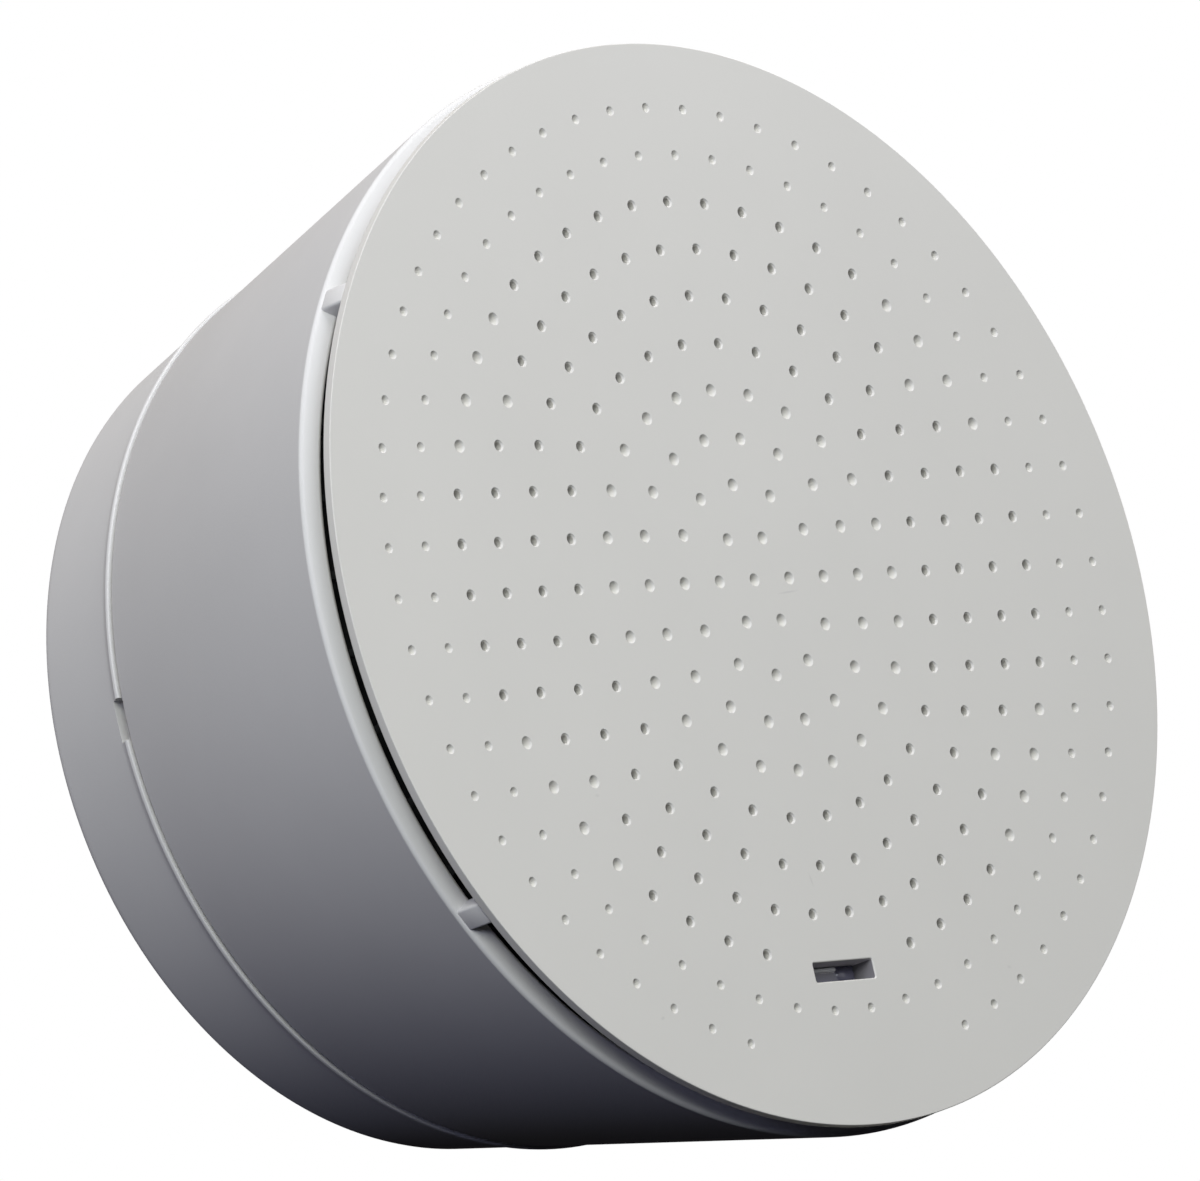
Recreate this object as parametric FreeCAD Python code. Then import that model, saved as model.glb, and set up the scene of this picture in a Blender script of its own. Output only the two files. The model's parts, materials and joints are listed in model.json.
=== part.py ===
"""Wireless alarm siren for an indoor wall: a tapered drum with a floating perforated face.

Millimetres. The origin is the centre of the back, on the wall plane; the front
looks along -Y, +Z is up and +X is to the right as seen from the front. Heights
called "out" are measured from the wall towards the front, so y = -out. Clock
angles are seen from the front: 0 is up, 90 is right.
"""
import FreeCAD, Part
import math
import os

Vector = FreeCAD.Vector

# Overall form, from the wall to the face
total_depth = 56.6
back_radius = 42.70
seam_out = 13.95                # front edge of the wall base
seam_gap = 0.30                 # open line between the base and the housing
seam_lip = 0.25                 # how far the edge of the base stands proud
back_edge_round = 1.2
wall = 2.2
floor = 2.2
cut_margin = 1.0                # how far a cutter reaches past what it cuts

# Face plate
face_radius = 54.6
face_thickness = 1.6
face_edge_thickness = 1.0
face_edge_band = 4.4            # width of the thin rim
hole_pitch = 4.8                # distance between rings of holes
hole_radius = 0.45
first_open_ring = 5
last_open_ring = 8
window_width = 8.20
window_height = 1.95
window_from_edge = 15.35        # from the face's edge straight up to its middle
window_clear = 14.0             # width of the window's place without holes
collar_wall = 1.2
collar_depth = 4.6              # behind the front of the face

# Feet behind the face, which carry it on the deck
foot_from_edge = 13.3           # centre of a foot inside the face's edge
foot_clock = 34.3               # above and below the horizontal
foot_radius = 8.6
foot_wall = 1.2
foot_boss_radius = 3.0
foot_hole_keepout = 0.3

# Front edge of the housing
gap_under_face = 2.45           # sound slot between the face's rim and the ledge
ledge_inner_inset = 1.95        # inside the face's edge
ledge_outer_inset = 0.36
lip_proud = 0.10                # how far the lip stands outside the face's edge
lip_drop = 0.95                 # from the ledge to the widest place
lip_bulge = 0.64                # how far the lip's arc stands out of its chord, as a share
bridge_width = 2.4
rib_count = 42
rib_thickness = 0.8
rib_depth = 2.6

# Deck inside the housing
chamber_depth = 5.15            # from the ledge down to the front of the deck
deck_thickness = 2.0
horn_clearance = 0.5            # opening of the deck, outside the sounder's cup

# Circuit board and the pillars that carry it
board_thickness = 1.6
board_edge_gap = 3.14           # between the board and the housing's wall
pillar_inset = 6.0              # centre of a pillar inside the board's edge
pillar_radius = 3.4
pillar_count = 4
pillar_first_clock = 45

# Screws
screw_radius = 1.45
screw_clearance = 0.05
screw_head_radius = 2.7
screw_head_height = 1.9
screw_slot_width = 0.8
screw_slot_length = 3.6
screw_slot_depth = 0.9
board_screw_length = 10.0
face_screw_length = 7.5
sounder_screw_length = 6.0
screw_runout = 0.5              # bore past the end of a screw

# Wall base
spigot_height = 3.05
spigot_wall = 1.6
spigot_clearance = 0.15
spigot_root = 1.5               # the thick ring under the spigot starts this far behind the seam
snap_bead = 0.35
snap_bead_rise = 1.83           # from the seam to the crest of the bead
snap_bead_half = 0.5
seam_flare = 0.8                # the cup's edge starts to flare this far behind the seam
seam_edge_height = 0.35
seam_edge_chamfer = 0.1
wall_hole_radius = 2.25
wall_hole_spacing = 68.0
wall_hole_sink = 3.2
notch_width = 4.2
notch_depth = 1.3
notch_count = 2
notch_first_clock = 90
cell_rib_thickness = 1.2
cell_rib_spacing = 20.0
cell_rib_clearance = 0.1
tamper_post_radius = 2.5

# Cells and their tray
cell_count = 3
cell_radius = 8.5
cell_length = 34.5
cell_nub_radius = 3.2
cell_nub_height = 1.2
cell_clearance = 0.1
cell_gap = 0.8                  # between neighbouring cells
cell_floor_gap = 2.1            # between the cells and the floor of the wall base
tray_wall = 1.2
tray_floor = 1.2
tray_edge_below_axis = 2.0      # how far the side walls wrap past the cell's axis
contact_thickness = 0.4
contact_width = 10.0
contact_height = 10.0
contact_slot_clearance = 0.2
contact_bump_radius = 1.8
contact_bump = 0.5

# Sounder
sounder_radius = 24.0
sounder_wall = 2.0
sounder_floor = 2.0
sounder_room = 6.8              # between the board and the back of the sounder
flange_width = 6.0
flange_thickness = 2.0
gasket_thickness = 1.0
gasket_clearance = 1.0          # hole of the gasket, outside the sounder's cup
disc_room = 5.0                 # from the back of the sounder to the disc's seat
disc_seat_width = 2.0
brass_thickness = 0.4
ceramic_radius = 15.0
ceramic_thickness = 0.3
cap_clearance = 0.1
cap_wall = 1.8
cap_thickness = 1.5
cap_dome = 3.5
cap_dome_shoulder = 2.1
cap_dome_foot_radius = 9.85
cap_dome_shoulder_radius = 7.65
cap_dome_top_radius = 3.3
cap_hole_radius = 1.8
cap_hole_count = 8
cap_hole_ring = 14.0
sounder_screw_offset = 3.6      # from the sounder's cup to its screws
sounder_screw_count = 3
sounder_screw_first_clock = 30
sounder_boss_radius = 2.6
sounder_boss_height = 4.0
terminal_width = 7.0
terminal_height = 4.0
terminal_reach = 2.2

# Parts on the board
led_width = 3.5
led_height = 2.8
led_thickness = 1.9
led_gap = 0.2
guide_clearance = 0.05
guide_front_depth = 2.8         # the guide's end behind the front of the face
guide_shoulder = 1.0
guide_shoulder_thickness = 1.2
guide_crown = 0.35
radio_width = 16.0
radio_length = 13.0
radio_thickness = 1.0
radio_inset = 10.0              # places on the board are measured from its edge
shield_margin = 1.2
shield_height = 2.4
shield_length = 9.0
chip_side = 10.0
chip_height = 1.5
capacitor_radius = 5.0
capacitor_height = 16.0
capacitor_inset = 8.5
capacitor_large_clock = 82
capacitor_small_clock = 64
transformer_side = 12.0
transformer_height = 11.0
transformer_inset = 9.0
transformer_clock = 270
connector_before_pillar = 23    # angle from the connector to the next pillar
connector_inset = 8.5
connector_width = 7.4
connector_depth = 5.0
connector_height = 6.0
wire_radius = 0.6
wire_spacing = 2.5
wire_bend = 3.0
wire_rise = 5.5                 # from the back of the sounder to its terminal
antenna_radius = 0.6
antenna_inset = 1.2
antenna_rise = 9.8
antenna_bend = 2.5
antenna_start_clock = 12.0
antenna_sweep = 108.0

# Switches on the back of the board
switch_side = 6.0
switch_height = 3.5
switch_inset = 8.0
stem_radius = 1.75
stem_clearance = 0.05
stem_inside = 1.9
stem_travel = 0.5
tamper_reach = 6.1              # stem of the tamper switch, outside its case
learn_reach = 1.5
tamper_clock = 90
learn_clock = 270

# Places that follow from the sizes above
face_back_out = total_depth - face_thickness
rim_back_out = total_depth - face_edge_thickness
ledge_out = rim_back_out - gap_under_face
lip_out = ledge_out - lip_drop
lip_radius = face_radius + lip_proud
taper = (lip_radius - back_radius) / lip_out
ledge_inner_radius = face_radius - ledge_inner_inset
ledge_outer_radius = face_radius - ledge_outer_inset
window_radius = face_radius - window_from_edge
foot_radial = face_radius - foot_from_edge
deck_front_out = ledge_out - chamber_depth
deck_out = deck_front_out - deck_thickness
board_out = floor + cell_floor_gap + 2 * cell_radius + cell_clearance + tray_floor
board_front_out = board_out + board_thickness
housing_back_out = seam_out + seam_gap
spigot_top_out = seam_out + spigot_height
tray_back_out = board_out - tray_floor
cell_axis_out = tray_back_out - cell_clearance - cell_radius
cell_pitch = 2 * cell_radius + cell_gap
bay_radius = cell_radius + cell_clearance
bay_half = cell_length / 2 + contact_bump + contact_thickness
tray_half_x = (cell_count - 1) * cell_pitch / 2 + bay_radius + tray_wall
tray_half_z = bay_half + tray_wall
gasket_back_out = deck_out - gasket_thickness
flange_back_out = gasket_back_out - flange_thickness
flange_radius = sounder_radius + flange_width
gasket_inner_radius = sounder_radius + gasket_clearance
horn_opening_radius = sounder_radius + horn_clearance
sounder_screw_ring = sounder_radius + sounder_screw_offset
sounder_back_out = board_front_out + sounder_room
disc_seat_out = sounder_back_out + disc_room
wire_out = sounder_back_out + wire_rise
antenna_out = board_front_out + antenna_rise
brass_front_out = disc_seat_out + brass_thickness
connector_clock = pillar_first_clock + 360 / pillar_count - connector_before_pillar
foot_clocks = (90 - foot_clock, 90 + foot_clock, 270 - foot_clock, 270 + foot_clock)
screw_hole_radius = screw_radius + screw_clearance


def cone_radius(out):
    """Radius of the outside surface at a height above the wall."""
    return back_radius + taper * out


def inner_radius(out):
    """Radius of the inside surface of the tapered wall."""
    return cone_radius(out) - wall * math.sqrt(1 + taper ** 2)


board_radius = inner_radius(board_out) - board_edge_gap
pillar_radial = board_radius - pillar_inset
radio_centre = board_radius - radio_inset
capacitor_radial = board_radius - capacitor_inset
transformer_radial = board_radius - transformer_inset
connector_radial = board_radius - connector_inset
antenna_ring = board_radius - antenna_inset
switch_radial = board_radius - switch_inset


def turned_solid(points, fillet_at=None, fillet=0.0, arc_middle=None):
    """Solid of revolution about the axis from (radius, out) points.

    The side that leads to the point in arc_middle, and on from it, is one arc.
    """
    corners = [Vector(r, -out, 0) for r, out in points]
    middle = points.index(arc_middle) if arc_middle else None
    edges = []
    for index, corner in enumerate(corners):
        if index == middle:
            continue
        following = corners[(index + 1) % len(corners)]
        if index + 1 == middle:
            edges.append(Part.Arc(corner, following, corners[index + 2]).toShape())
        else:
            edges.append(Part.LineSegment(corner, following).toShape())
    face = Part.Face(Part.Wire(edges))
    solid = face.revolve(Vector(0, 0, 0), Vector(0, 1, 0), 360)
    if fillet:
        radius, out = fillet_at
        edges = [edge for edge in solid.Edges if is_circle_at(edge, radius, out)]
        solid = solid.makeFillet(fillet, edges)
    return solid


def is_circle_at(edge, radius, out):
    """Whether an edge is the circle of this radius about the axis at this height."""
    if not isinstance(edge.Curve, Part.Circle):
        return False
    return abs(edge.Curve.Radius - radius) < 0.01 and abs(edge.Curve.Center.y + out) < 0.01


def rod(x, z, out_low, out_high, radius):
    """Cylinder along the axis direction between two heights."""
    return Part.makeCylinder(radius, out_high - out_low, Vector(x, -out_low, z), Vector(0, -1, 0))


def block(width, height, out_low, out_high, x=0.0, z=0.0):
    """Box centred on (x, z), between two heights."""
    corner = Vector(x - width / 2, -out_high, z - height / 2)
    return Part.makeBox(width, out_high - out_low, height, corner)


def at_clock(shape, clock):
    """Copy of a shape drawn at the top, turned to a clock angle."""
    copy = shape.copy()
    copy.rotate(Vector(0, 0, 0), Vector(0, 1, 0), clock)
    return copy


def clock_place(clock, radius):
    """X and Z of a place at a clock angle and a distance from the axis."""
    angle = math.radians(clock)
    return radius * math.sin(angle), radius * math.cos(angle)


def clocks_around(first, count):
    """Clock angles of a ring of like things, evenly spaced."""
    return [first + number * 360 / count for number in range(count)]


def fused(shapes):
    """One solid from overlapping or touching shapes."""
    return shapes[0].multiFuse(shapes[1:]).removeSplitter()


def screw(x, z, seat_out, length):
    """Pan-head screw with a cross slot; its shank points to the front from its seat."""
    head_end = seat_out - screw_head_height
    shank = rod(x, z, seat_out, seat_out + length, screw_radius)
    head = rod(x, z, head_end, seat_out, screw_head_radius)
    slot_bottom = head_end + screw_slot_depth
    slot = block(screw_slot_length, screw_slot_width, head_end, slot_bottom, x, z)
    cross = slot.fuse(block(screw_slot_width, screw_slot_length, head_end, slot_bottom, x, z))
    return shank.fuse(head).cut(cross).removeSplitter()


def open_hole_places():
    """Places of the holes that go right through the face plate."""
    places = []
    feet = [clock_place(clock, foot_radial) for clock in foot_clocks]
    for ring in range(first_open_ring, last_open_ring + 1):
        count = 6 * ring
        start = 180 + (ring % 2) * 180 / count
        for number in range(count):
            x, z = clock_place(start + number * 360 / count, ring * hole_pitch)
            by_window = abs(x) < window_clear / 2 and abs(z + window_radius) < hole_pitch / 2
            by_foot = any(math.hypot(x - fx, z - fz) < foot_radius + hole_radius + foot_hole_keepout
                          for fx, fz in feet)
            if not by_window and not by_foot:
                places.append((x, z))
    return places


def board_screw_places():
    """X and Z of the board's screws and the pillars that they bite into."""
    return [clock_place(clock, pillar_radial)
            for clock in clocks_around(pillar_first_clock, pillar_count)]


def sounder_screw_places():
    """X and Z of the sounder's screws."""
    return [clock_place(clock, sounder_screw_ring)
            for clock in clocks_around(sounder_screw_first_clock, sounder_screw_count)]


def face_plate():
    """Flat round plate with rings of holes, a window and four feet behind it."""
    axis = Vector(0, 1, 0)
    front = -total_depth
    wires = [Part.Wire(Part.makeCircle(face_radius, Vector(0, front, 0), axis))]
    for x, z in open_hole_places():
        wires.append(Part.Wire(Part.makeCircle(hole_radius, Vector(x, front, z), axis)))
    half_width, half_height = window_width / 2, window_height / 2
    corners = [Vector(sx * half_width, front, sz * half_height - window_radius)
               for sx, sz in ((-1, -1), (1, -1), (1, 1), (-1, 1), (-1, -1))]
    wires.append(Part.makePolygon(corners))
    plate = Part.Face(wires, "Part::FaceMakerCheese").extrude(Vector(0, face_thickness, 0))
    band_inner = face_radius - face_edge_band
    step = face_thickness - face_edge_thickness
    rim_cut = turned_solid([(band_inner, face_back_out - cut_margin),
                            (face_radius + cut_margin, face_back_out - cut_margin),
                            (face_radius + cut_margin, rim_back_out),
                            (band_inner + step, rim_back_out),
                            (band_inner, face_back_out)])
    plate = plate.cut(rim_cut)
    collar_back_out = total_depth - collar_depth
    collar = block(window_width + 2 * collar_wall, window_height + 2 * collar_wall,
                   collar_back_out, face_back_out, 0, -window_radius)
    collar = collar.cut(block(window_width, window_height, collar_back_out - cut_margin,
                              face_back_out + cut_margin, 0, -window_radius))
    pieces = [plate, collar]
    for clock in foot_clocks:
        x, z = clock_place(clock, foot_radial)
        ring = rod(x, z, deck_front_out, face_back_out, foot_radius)
        ring = ring.cut(rod(x, z, deck_front_out - cut_margin, face_back_out, foot_radius - foot_wall))
        boss = rod(x, z, deck_front_out, face_back_out, foot_boss_radius)
        bore_end = deck_out + face_screw_length + screw_runout
        boss = boss.cut(rod(x, z, deck_front_out - cut_margin, bore_end, screw_hole_radius))
        pieces.extend((ring, boss))
    return fused(pieces)


def face_screws():
    """Four screws from behind the deck into the feet of the face."""
    solids = []
    for clock in foot_clocks:
        x, z = clock_place(clock, foot_radial)
        solids.append(screw(x, z, deck_out, face_screw_length))
    return Part.makeCompound(solids)


def housing():
    """Tapered front shell with the ledge, the deck, the board's pillars and the bridges."""
    chamber_radius = inner_radius(deck_front_out)
    lip_middle = (ledge_outer_radius + lip_bulge * (lip_radius - ledge_outer_radius),
                  lip_out + lip_bulge * lip_drop)
    shell = turned_solid([
        (cone_radius(housing_back_out), housing_back_out),
        (lip_radius, lip_out),
        lip_middle,
        (ledge_outer_radius, ledge_out),
        (ledge_inner_radius, ledge_out),
        (chamber_radius, deck_front_out),
        (horn_opening_radius, deck_front_out),
        (horn_opening_radius, deck_out),
        (inner_radius(deck_out), deck_out),
        (inner_radius(housing_back_out), housing_back_out)], arc_middle=lip_middle)
    additions = [shell]
    bridge = block(bridge_width, face_radius - ledge_inner_radius, ledge_out, rim_back_out,
                   0, (face_radius + ledge_inner_radius) / 2)
    rim = turned_solid([(0, ledge_out - cut_margin), (face_radius, ledge_out - cut_margin),
                        (face_radius, rim_back_out), (0, rim_back_out)])
    bridge = bridge.common(rim)
    additions.extend(at_clock(bridge, clock) for clock in foot_clocks)
    rib = block(rib_thickness, rib_depth + wall, deck_front_out, ledge_out,
                0, ledge_inner_radius - rib_depth + (rib_depth + wall) / 2)
    rib_room = turned_solid([(0, deck_front_out), (chamber_radius + wall / 2, deck_front_out),
                             (ledge_inner_radius + wall / 2, ledge_out), (0, ledge_out)])
    rib = rib.common(rib_room)
    additions.extend(at_clock(rib, clock) for clock in clocks_around(0, rib_count))
    for x, z in board_screw_places():
        additions.append(rod(x, z, board_front_out, deck_out + deck_thickness / 2, pillar_radius))
    for x, z in sounder_screw_places():
        additions.append(rod(x, z, deck_out + deck_thickness / 2,
                             deck_front_out + sounder_boss_height, sounder_boss_radius))
    solid = additions[0].multiFuse(additions[1:])
    cuts = []
    for x, z in board_screw_places():
        end = board_out + board_screw_length + screw_runout
        cuts.append(rod(x, z, board_front_out - cut_margin, end, screw_hole_radius))
    for x, z in sounder_screw_places():
        end = flange_back_out + sounder_screw_length + screw_runout
        cuts.append(rod(x, z, deck_out - cut_margin, end, screw_hole_radius))
    for clock in foot_clocks:
        x, z = clock_place(clock, foot_radial)
        cuts.append(rod(x, z, deck_out - cut_margin, deck_front_out + cut_margin, screw_hole_radius))
    cuts.append(block(window_width, window_height, deck_out - cut_margin,
                      deck_front_out + cut_margin, 0, -window_radius))
    return solid.cut(Part.makeCompound(cuts)).removeSplitter()


def wall_base():
    """Shallow cup fixed to the wall; the housing slides over its spigot."""
    edge_radius = cone_radius(seam_out) + seam_lip
    spigot_radius = inner_radius(housing_back_out) - spigot_clearance
    spigot_inner = spigot_radius - spigot_wall
    bead_out = seam_out + snap_bead_rise
    cup = turned_solid([
        (0, 0),
        (back_radius, 0),
        (cone_radius(seam_out - seam_flare), seam_out - seam_flare),
        (edge_radius, seam_out - seam_edge_height),
        (edge_radius, seam_out - seam_edge_chamfer),
        (edge_radius - seam_edge_chamfer, seam_out),
        (spigot_radius, seam_out),
        (spigot_radius, bead_out - snap_bead_half),
        (spigot_radius + snap_bead, bead_out),
        (spigot_radius, bead_out + snap_bead_half),
        (spigot_radius, spigot_top_out),
        (spigot_inner, spigot_top_out),
        (spigot_inner, seam_out - spigot_root),
        (inner_radius(floor), floor),
        (0, floor)], (back_radius, 0), back_edge_round)
    additions = [cup]
    tamper_x, tamper_z = clock_place(tamper_clock, switch_radial)
    tamper_top_out = board_out - switch_height - tamper_reach
    additions.append(rod(tamper_x, tamper_z, floor / 2, tamper_top_out, tamper_post_radius))
    rib_top_out = cell_axis_out - cell_radius - cell_rib_clearance
    rib_width = 2 * tray_half_x - 4 * tray_wall
    for side in (-1, 1):
        additions.append(block(rib_width, cell_rib_thickness, floor / 2, rib_top_out,
                               0, side * cell_rib_spacing / 2))
    solid = fused(additions)
    cuts = []
    for side in (-1, 1):
        z = side * wall_hole_spacing / 2
        sink_depth = wall_hole_sink - wall_hole_radius
        cuts.append(rod(0, z, -cut_margin, floor + cut_margin, wall_hole_radius))
        cuts.append(Part.makeCone(wall_hole_sink, wall_hole_radius, sink_depth,
                                  Vector(0, -floor, z), Vector(0, 1, 0)))
    notch = block(notch_width, 2 * wall, seam_out - notch_depth, seam_out + cut_margin,
                  0, spigot_radius + wall)
    cuts.extend(at_clock(notch, clock) for clock in clocks_around(notch_first_clock, notch_count))
    return solid.cut(Part.makeCompound(cuts)).removeSplitter()


def main_board():
    """Round circuit board on the housing's pillars."""
    board = rod(0, 0, board_out, board_front_out, board_radius)
    holes = [rod(x, z, board_out - cut_margin, board_front_out + cut_margin, screw_hole_radius)
             for x, z in board_screw_places()]
    return board.cut(Part.makeCompound(holes))


def board_screws():
    """Four screws from the back of the board into the pillars."""
    return Part.makeCompound([screw(x, z, board_out, board_screw_length)
                              for x, z in board_screw_places()])


def sounder_body():
    """Cup that holds the sounding disc, with its flange and the wires' terminal."""
    inner = sounder_radius - sounder_wall
    body = turned_solid([
        (0, sounder_back_out),
        (sounder_radius, sounder_back_out),
        (sounder_radius, flange_back_out),
        (flange_radius, flange_back_out),
        (flange_radius, gasket_back_out),
        (inner, gasket_back_out),
        (inner, disc_seat_out),
        (inner - disc_seat_width, disc_seat_out),
        (inner - disc_seat_width, sounder_back_out + sounder_floor),
        (0, sounder_back_out + sounder_floor)])
    reach = block(terminal_width, terminal_reach + sounder_wall, wire_out - terminal_height / 2,
                  wire_out + terminal_height / 2,
                  0, sounder_radius + (terminal_reach - sounder_wall) / 2)
    reach = reach.cut(turned_solid([(0, 0), (sounder_radius - sounder_wall / 2, 0),
                                    (sounder_radius - sounder_wall / 2, total_depth),
                                    (0, total_depth)]))
    solid = fused([body, at_clock(reach, connector_clock)])
    holes = [rod(x, z, flange_back_out - cut_margin, gasket_back_out + cut_margin, screw_hole_radius)
             for x, z in sounder_screw_places()]
    return solid.cut(Part.makeCompound(holes))


def sounder_gasket():
    """Flat ring between the sounder's flange and the deck."""
    ring = rod(0, 0, gasket_back_out, deck_out, flange_radius)
    back_end = gasket_back_out - cut_margin
    front_end = deck_out + cut_margin
    ring = ring.cut(rod(0, 0, back_end, front_end, gasket_inner_radius))
    holes = [rod(x, z, back_end, front_end, screw_hole_radius) for x, z in sounder_screw_places()]
    return ring.cut(Part.makeCompound(holes))


def sounder_cap():
    """Domed cap that clamps the disc and lets the sound out through a ring of holes."""
    radius = sounder_radius - sounder_wall - cap_clearance
    cap_back_out = gasket_back_out - cap_thickness
    cap = turned_solid([
        (radius, brass_front_out),
        (radius, gasket_back_out),
        (cap_dome_foot_radius, gasket_back_out),
        (cap_dome_shoulder_radius, gasket_back_out + cap_dome_shoulder),
        (cap_dome_top_radius, gasket_back_out + cap_dome),
        (0, gasket_back_out + cap_dome),
        (0, cap_back_out),
        (radius - cap_wall, cap_back_out),
        (radius - cap_wall, brass_front_out)])
    holes = []
    for clock in clocks_around(0, cap_hole_count):
        x, z = clock_place(clock, cap_hole_ring)
        holes.append(rod(x, z, cap_back_out - cut_margin, gasket_back_out + cut_margin,
                         cap_hole_radius))
    return cap.cut(Part.makeCompound(holes))


def brass_disc():
    """Brass plate of the sounding disc."""
    radius = sounder_radius - sounder_wall - cap_clearance
    return rod(0, 0, disc_seat_out, brass_front_out, radius)


def ceramic_disc():
    """Ceramic layer bonded behind the brass plate."""
    return rod(0, 0, disc_seat_out - ceramic_thickness, disc_seat_out, ceramic_radius)


def sounder_screws():
    """Three screws that hold the sounder's flange to the deck."""
    return Part.makeCompound([screw(x, z, flange_back_out, sounder_screw_length)
                              for x, z in sounder_screw_places()])


def light_guide():
    """Clear bar that carries the light from the board to the window."""
    width = window_width - 2 * guide_clearance
    height = window_height - 2 * guide_clearance
    back_out = board_front_out + led_thickness + led_gap
    front_out = total_depth - guide_front_depth
    bar = block(width, height, back_out, front_out - guide_crown, 0, -window_radius)
    shoulder = block(width + 2 * guide_shoulder, height + 2 * guide_shoulder,
                     deck_out - guide_shoulder_thickness, deck_out, 0, -window_radius)
    crown_radius = (height ** 2 / 4 + guide_crown ** 2) / (2 * guide_crown)
    crown = Part.makeCylinder(crown_radius, width,
                              Vector(-width / 2, crown_radius - front_out, -window_radius),
                              Vector(1, 0, 0))
    crown = crown.common(block(width, height, front_out - guide_crown, front_out,
                               0, -window_radius))
    return fused([bar, shoulder, crown])


def status_led():
    """Surface-mount lamp under the light guide."""
    return block(led_width, led_height, board_front_out, board_front_out + led_thickness,
                 0, -window_radius)


def radio_board():
    """Small board of the radio, flat on the main board."""
    return block(radio_width, radio_length, board_front_out, board_front_out + radio_thickness,
                 0, radio_centre)


def radio_shield():
    """Tin can over the radio's circuit."""
    base_out = board_front_out + radio_thickness
    return block(radio_width - 2 * shield_margin, shield_length, base_out, base_out + shield_height,
                 0, radio_centre - (radio_length - shield_length) / 2 + shield_margin)


def antenna_wire():
    """Insulated wire that rises from the board, bends over and runs inside the housing."""
    start = math.radians(antenna_start_clock)
    radial = Vector(math.sin(start), 0, math.cos(start))
    tangent = Vector(math.cos(start), 0, -math.sin(start))
    up = Vector(0, -1, 0)
    foot = radial * antenna_ring + up * board_front_out
    rise_end = radial * antenna_ring + up * (antenna_out - antenna_bend)
    bend_share = math.sqrt(0.5)
    bend_middle = rise_end + tangent * antenna_bend * (1 - bend_share) + up * antenna_bend * bend_share
    bend_end = rise_end + tangent * antenna_bend + up * antenna_bend
    ring_centre = tangent * antenna_bend + up * antenna_out

    def ring_point(sweep):
        x, z = clock_place(antenna_start_clock + sweep, antenna_ring)
        return ring_centre + Vector(x, 0, z)

    path = Part.Wire([Part.LineSegment(foot, rise_end).toShape(),
                      Part.Arc(rise_end, bend_middle, bend_end).toShape(),
                      Part.Arc(bend_end, ring_point(antenna_sweep / 2),
                               ring_point(antenna_sweep)).toShape()])
    section = Part.Wire(Part.makeCircle(antenna_radius, foot, up))
    return path.makePipeShell([section], True, True)


def microcontroller():
    """Flat square chip in the middle of the board."""
    return block(chip_side, chip_side, board_front_out, board_front_out + chip_height)


def capacitor(clock):
    """Round electrolytic capacitor standing on the board."""
    x, z = clock_place(clock, capacitor_radial)
    return rod(x, z, board_front_out, board_front_out + capacitor_height, capacitor_radius)


def drive_transformer():
    """Small transformer that raises the voltage for the sounding disc."""
    x, z = clock_place(transformer_clock, transformer_radial)
    return block(transformer_side, transformer_side, board_front_out,
                 board_front_out + transformer_height, x, z)


def sounder_connector():
    """Plug of the sounder's two wires on the board."""
    body = block(connector_width, connector_depth, board_front_out,
                 board_front_out + connector_height, 0, connector_radial)
    return at_clock(body, connector_clock)


def sounder_wire(side):
    """One of the two wires from the connector to the sounder's terminal."""
    x = side * wire_spacing / 2
    terminal_face = sounder_radius + terminal_reach
    start = Vector(x, -(board_front_out + connector_height), connector_radial)
    rise_end = Vector(x, -(wire_out - wire_bend), connector_radial)
    share = math.sqrt(0.5)
    bend_middle = Vector(x, -(wire_out - wire_bend * (1 - share)),
                         connector_radial - wire_bend * (1 - share))
    bend_end = Vector(x, -wire_out, connector_radial - wire_bend)
    end = Vector(x, -wire_out, terminal_face)
    path = Part.Wire([Part.LineSegment(start, rise_end).toShape(),
                      Part.Arc(rise_end, bend_middle, bend_end).toShape(),
                      Part.LineSegment(bend_end, end).toShape()])
    section = Part.Wire(Part.makeCircle(wire_radius, start, Vector(0, -1, 0)))
    return at_clock(path.makePipeShell([section], True, True), connector_clock)


def cell_x(number):
    """X of the axis of a cell, counted from the left."""
    return (number - (cell_count - 1) / 2) * cell_pitch


def battery_cell(number):
    """Lithium cell; neighbours point opposite ways."""
    up = 1 if number % 2 == 0 else -1
    x = cell_x(number)
    direction = Vector(0, 0, up)
    can_length = cell_length - cell_nub_height
    bottom = Vector(x, -cell_axis_out, -up * cell_length / 2)
    can = Part.makeCylinder(cell_radius, can_length, bottom, direction)
    nub = Part.makeCylinder(cell_nub_radius, cell_nub_height, bottom + direction * can_length,
                            direction)
    return can.fuse(nub)


def battery_tray():
    """Open tray behind the board, with a round-bottomed bay for each cell."""
    edge_out = cell_axis_out - tray_edge_below_axis
    tray = block(2 * tray_half_x, 2 * tray_half_z, edge_out, board_out)
    for number in range(cell_count):
        x = cell_x(number)
        bay = Part.makeCylinder(bay_radius, 2 * bay_half, Vector(x, -cell_axis_out, -bay_half),
                                Vector(0, 0, 1))
        tray = tray.cut(bay)
        tray = tray.cut(block(2 * bay_radius, 2 * bay_half, edge_out - cut_margin, cell_axis_out, x))
    slot_depth = bay_half - cell_length / 2 - contact_slot_clearance
    for side in (-1, 1):
        z = side * (bay_half - slot_depth / 2)
        tray = tray.cut(block(2 * (tray_half_x - tray_wall), slot_depth, edge_out - cut_margin,
                              edge_out + contact_height + contact_slot_clearance, 0, z))
    return tray


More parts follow.
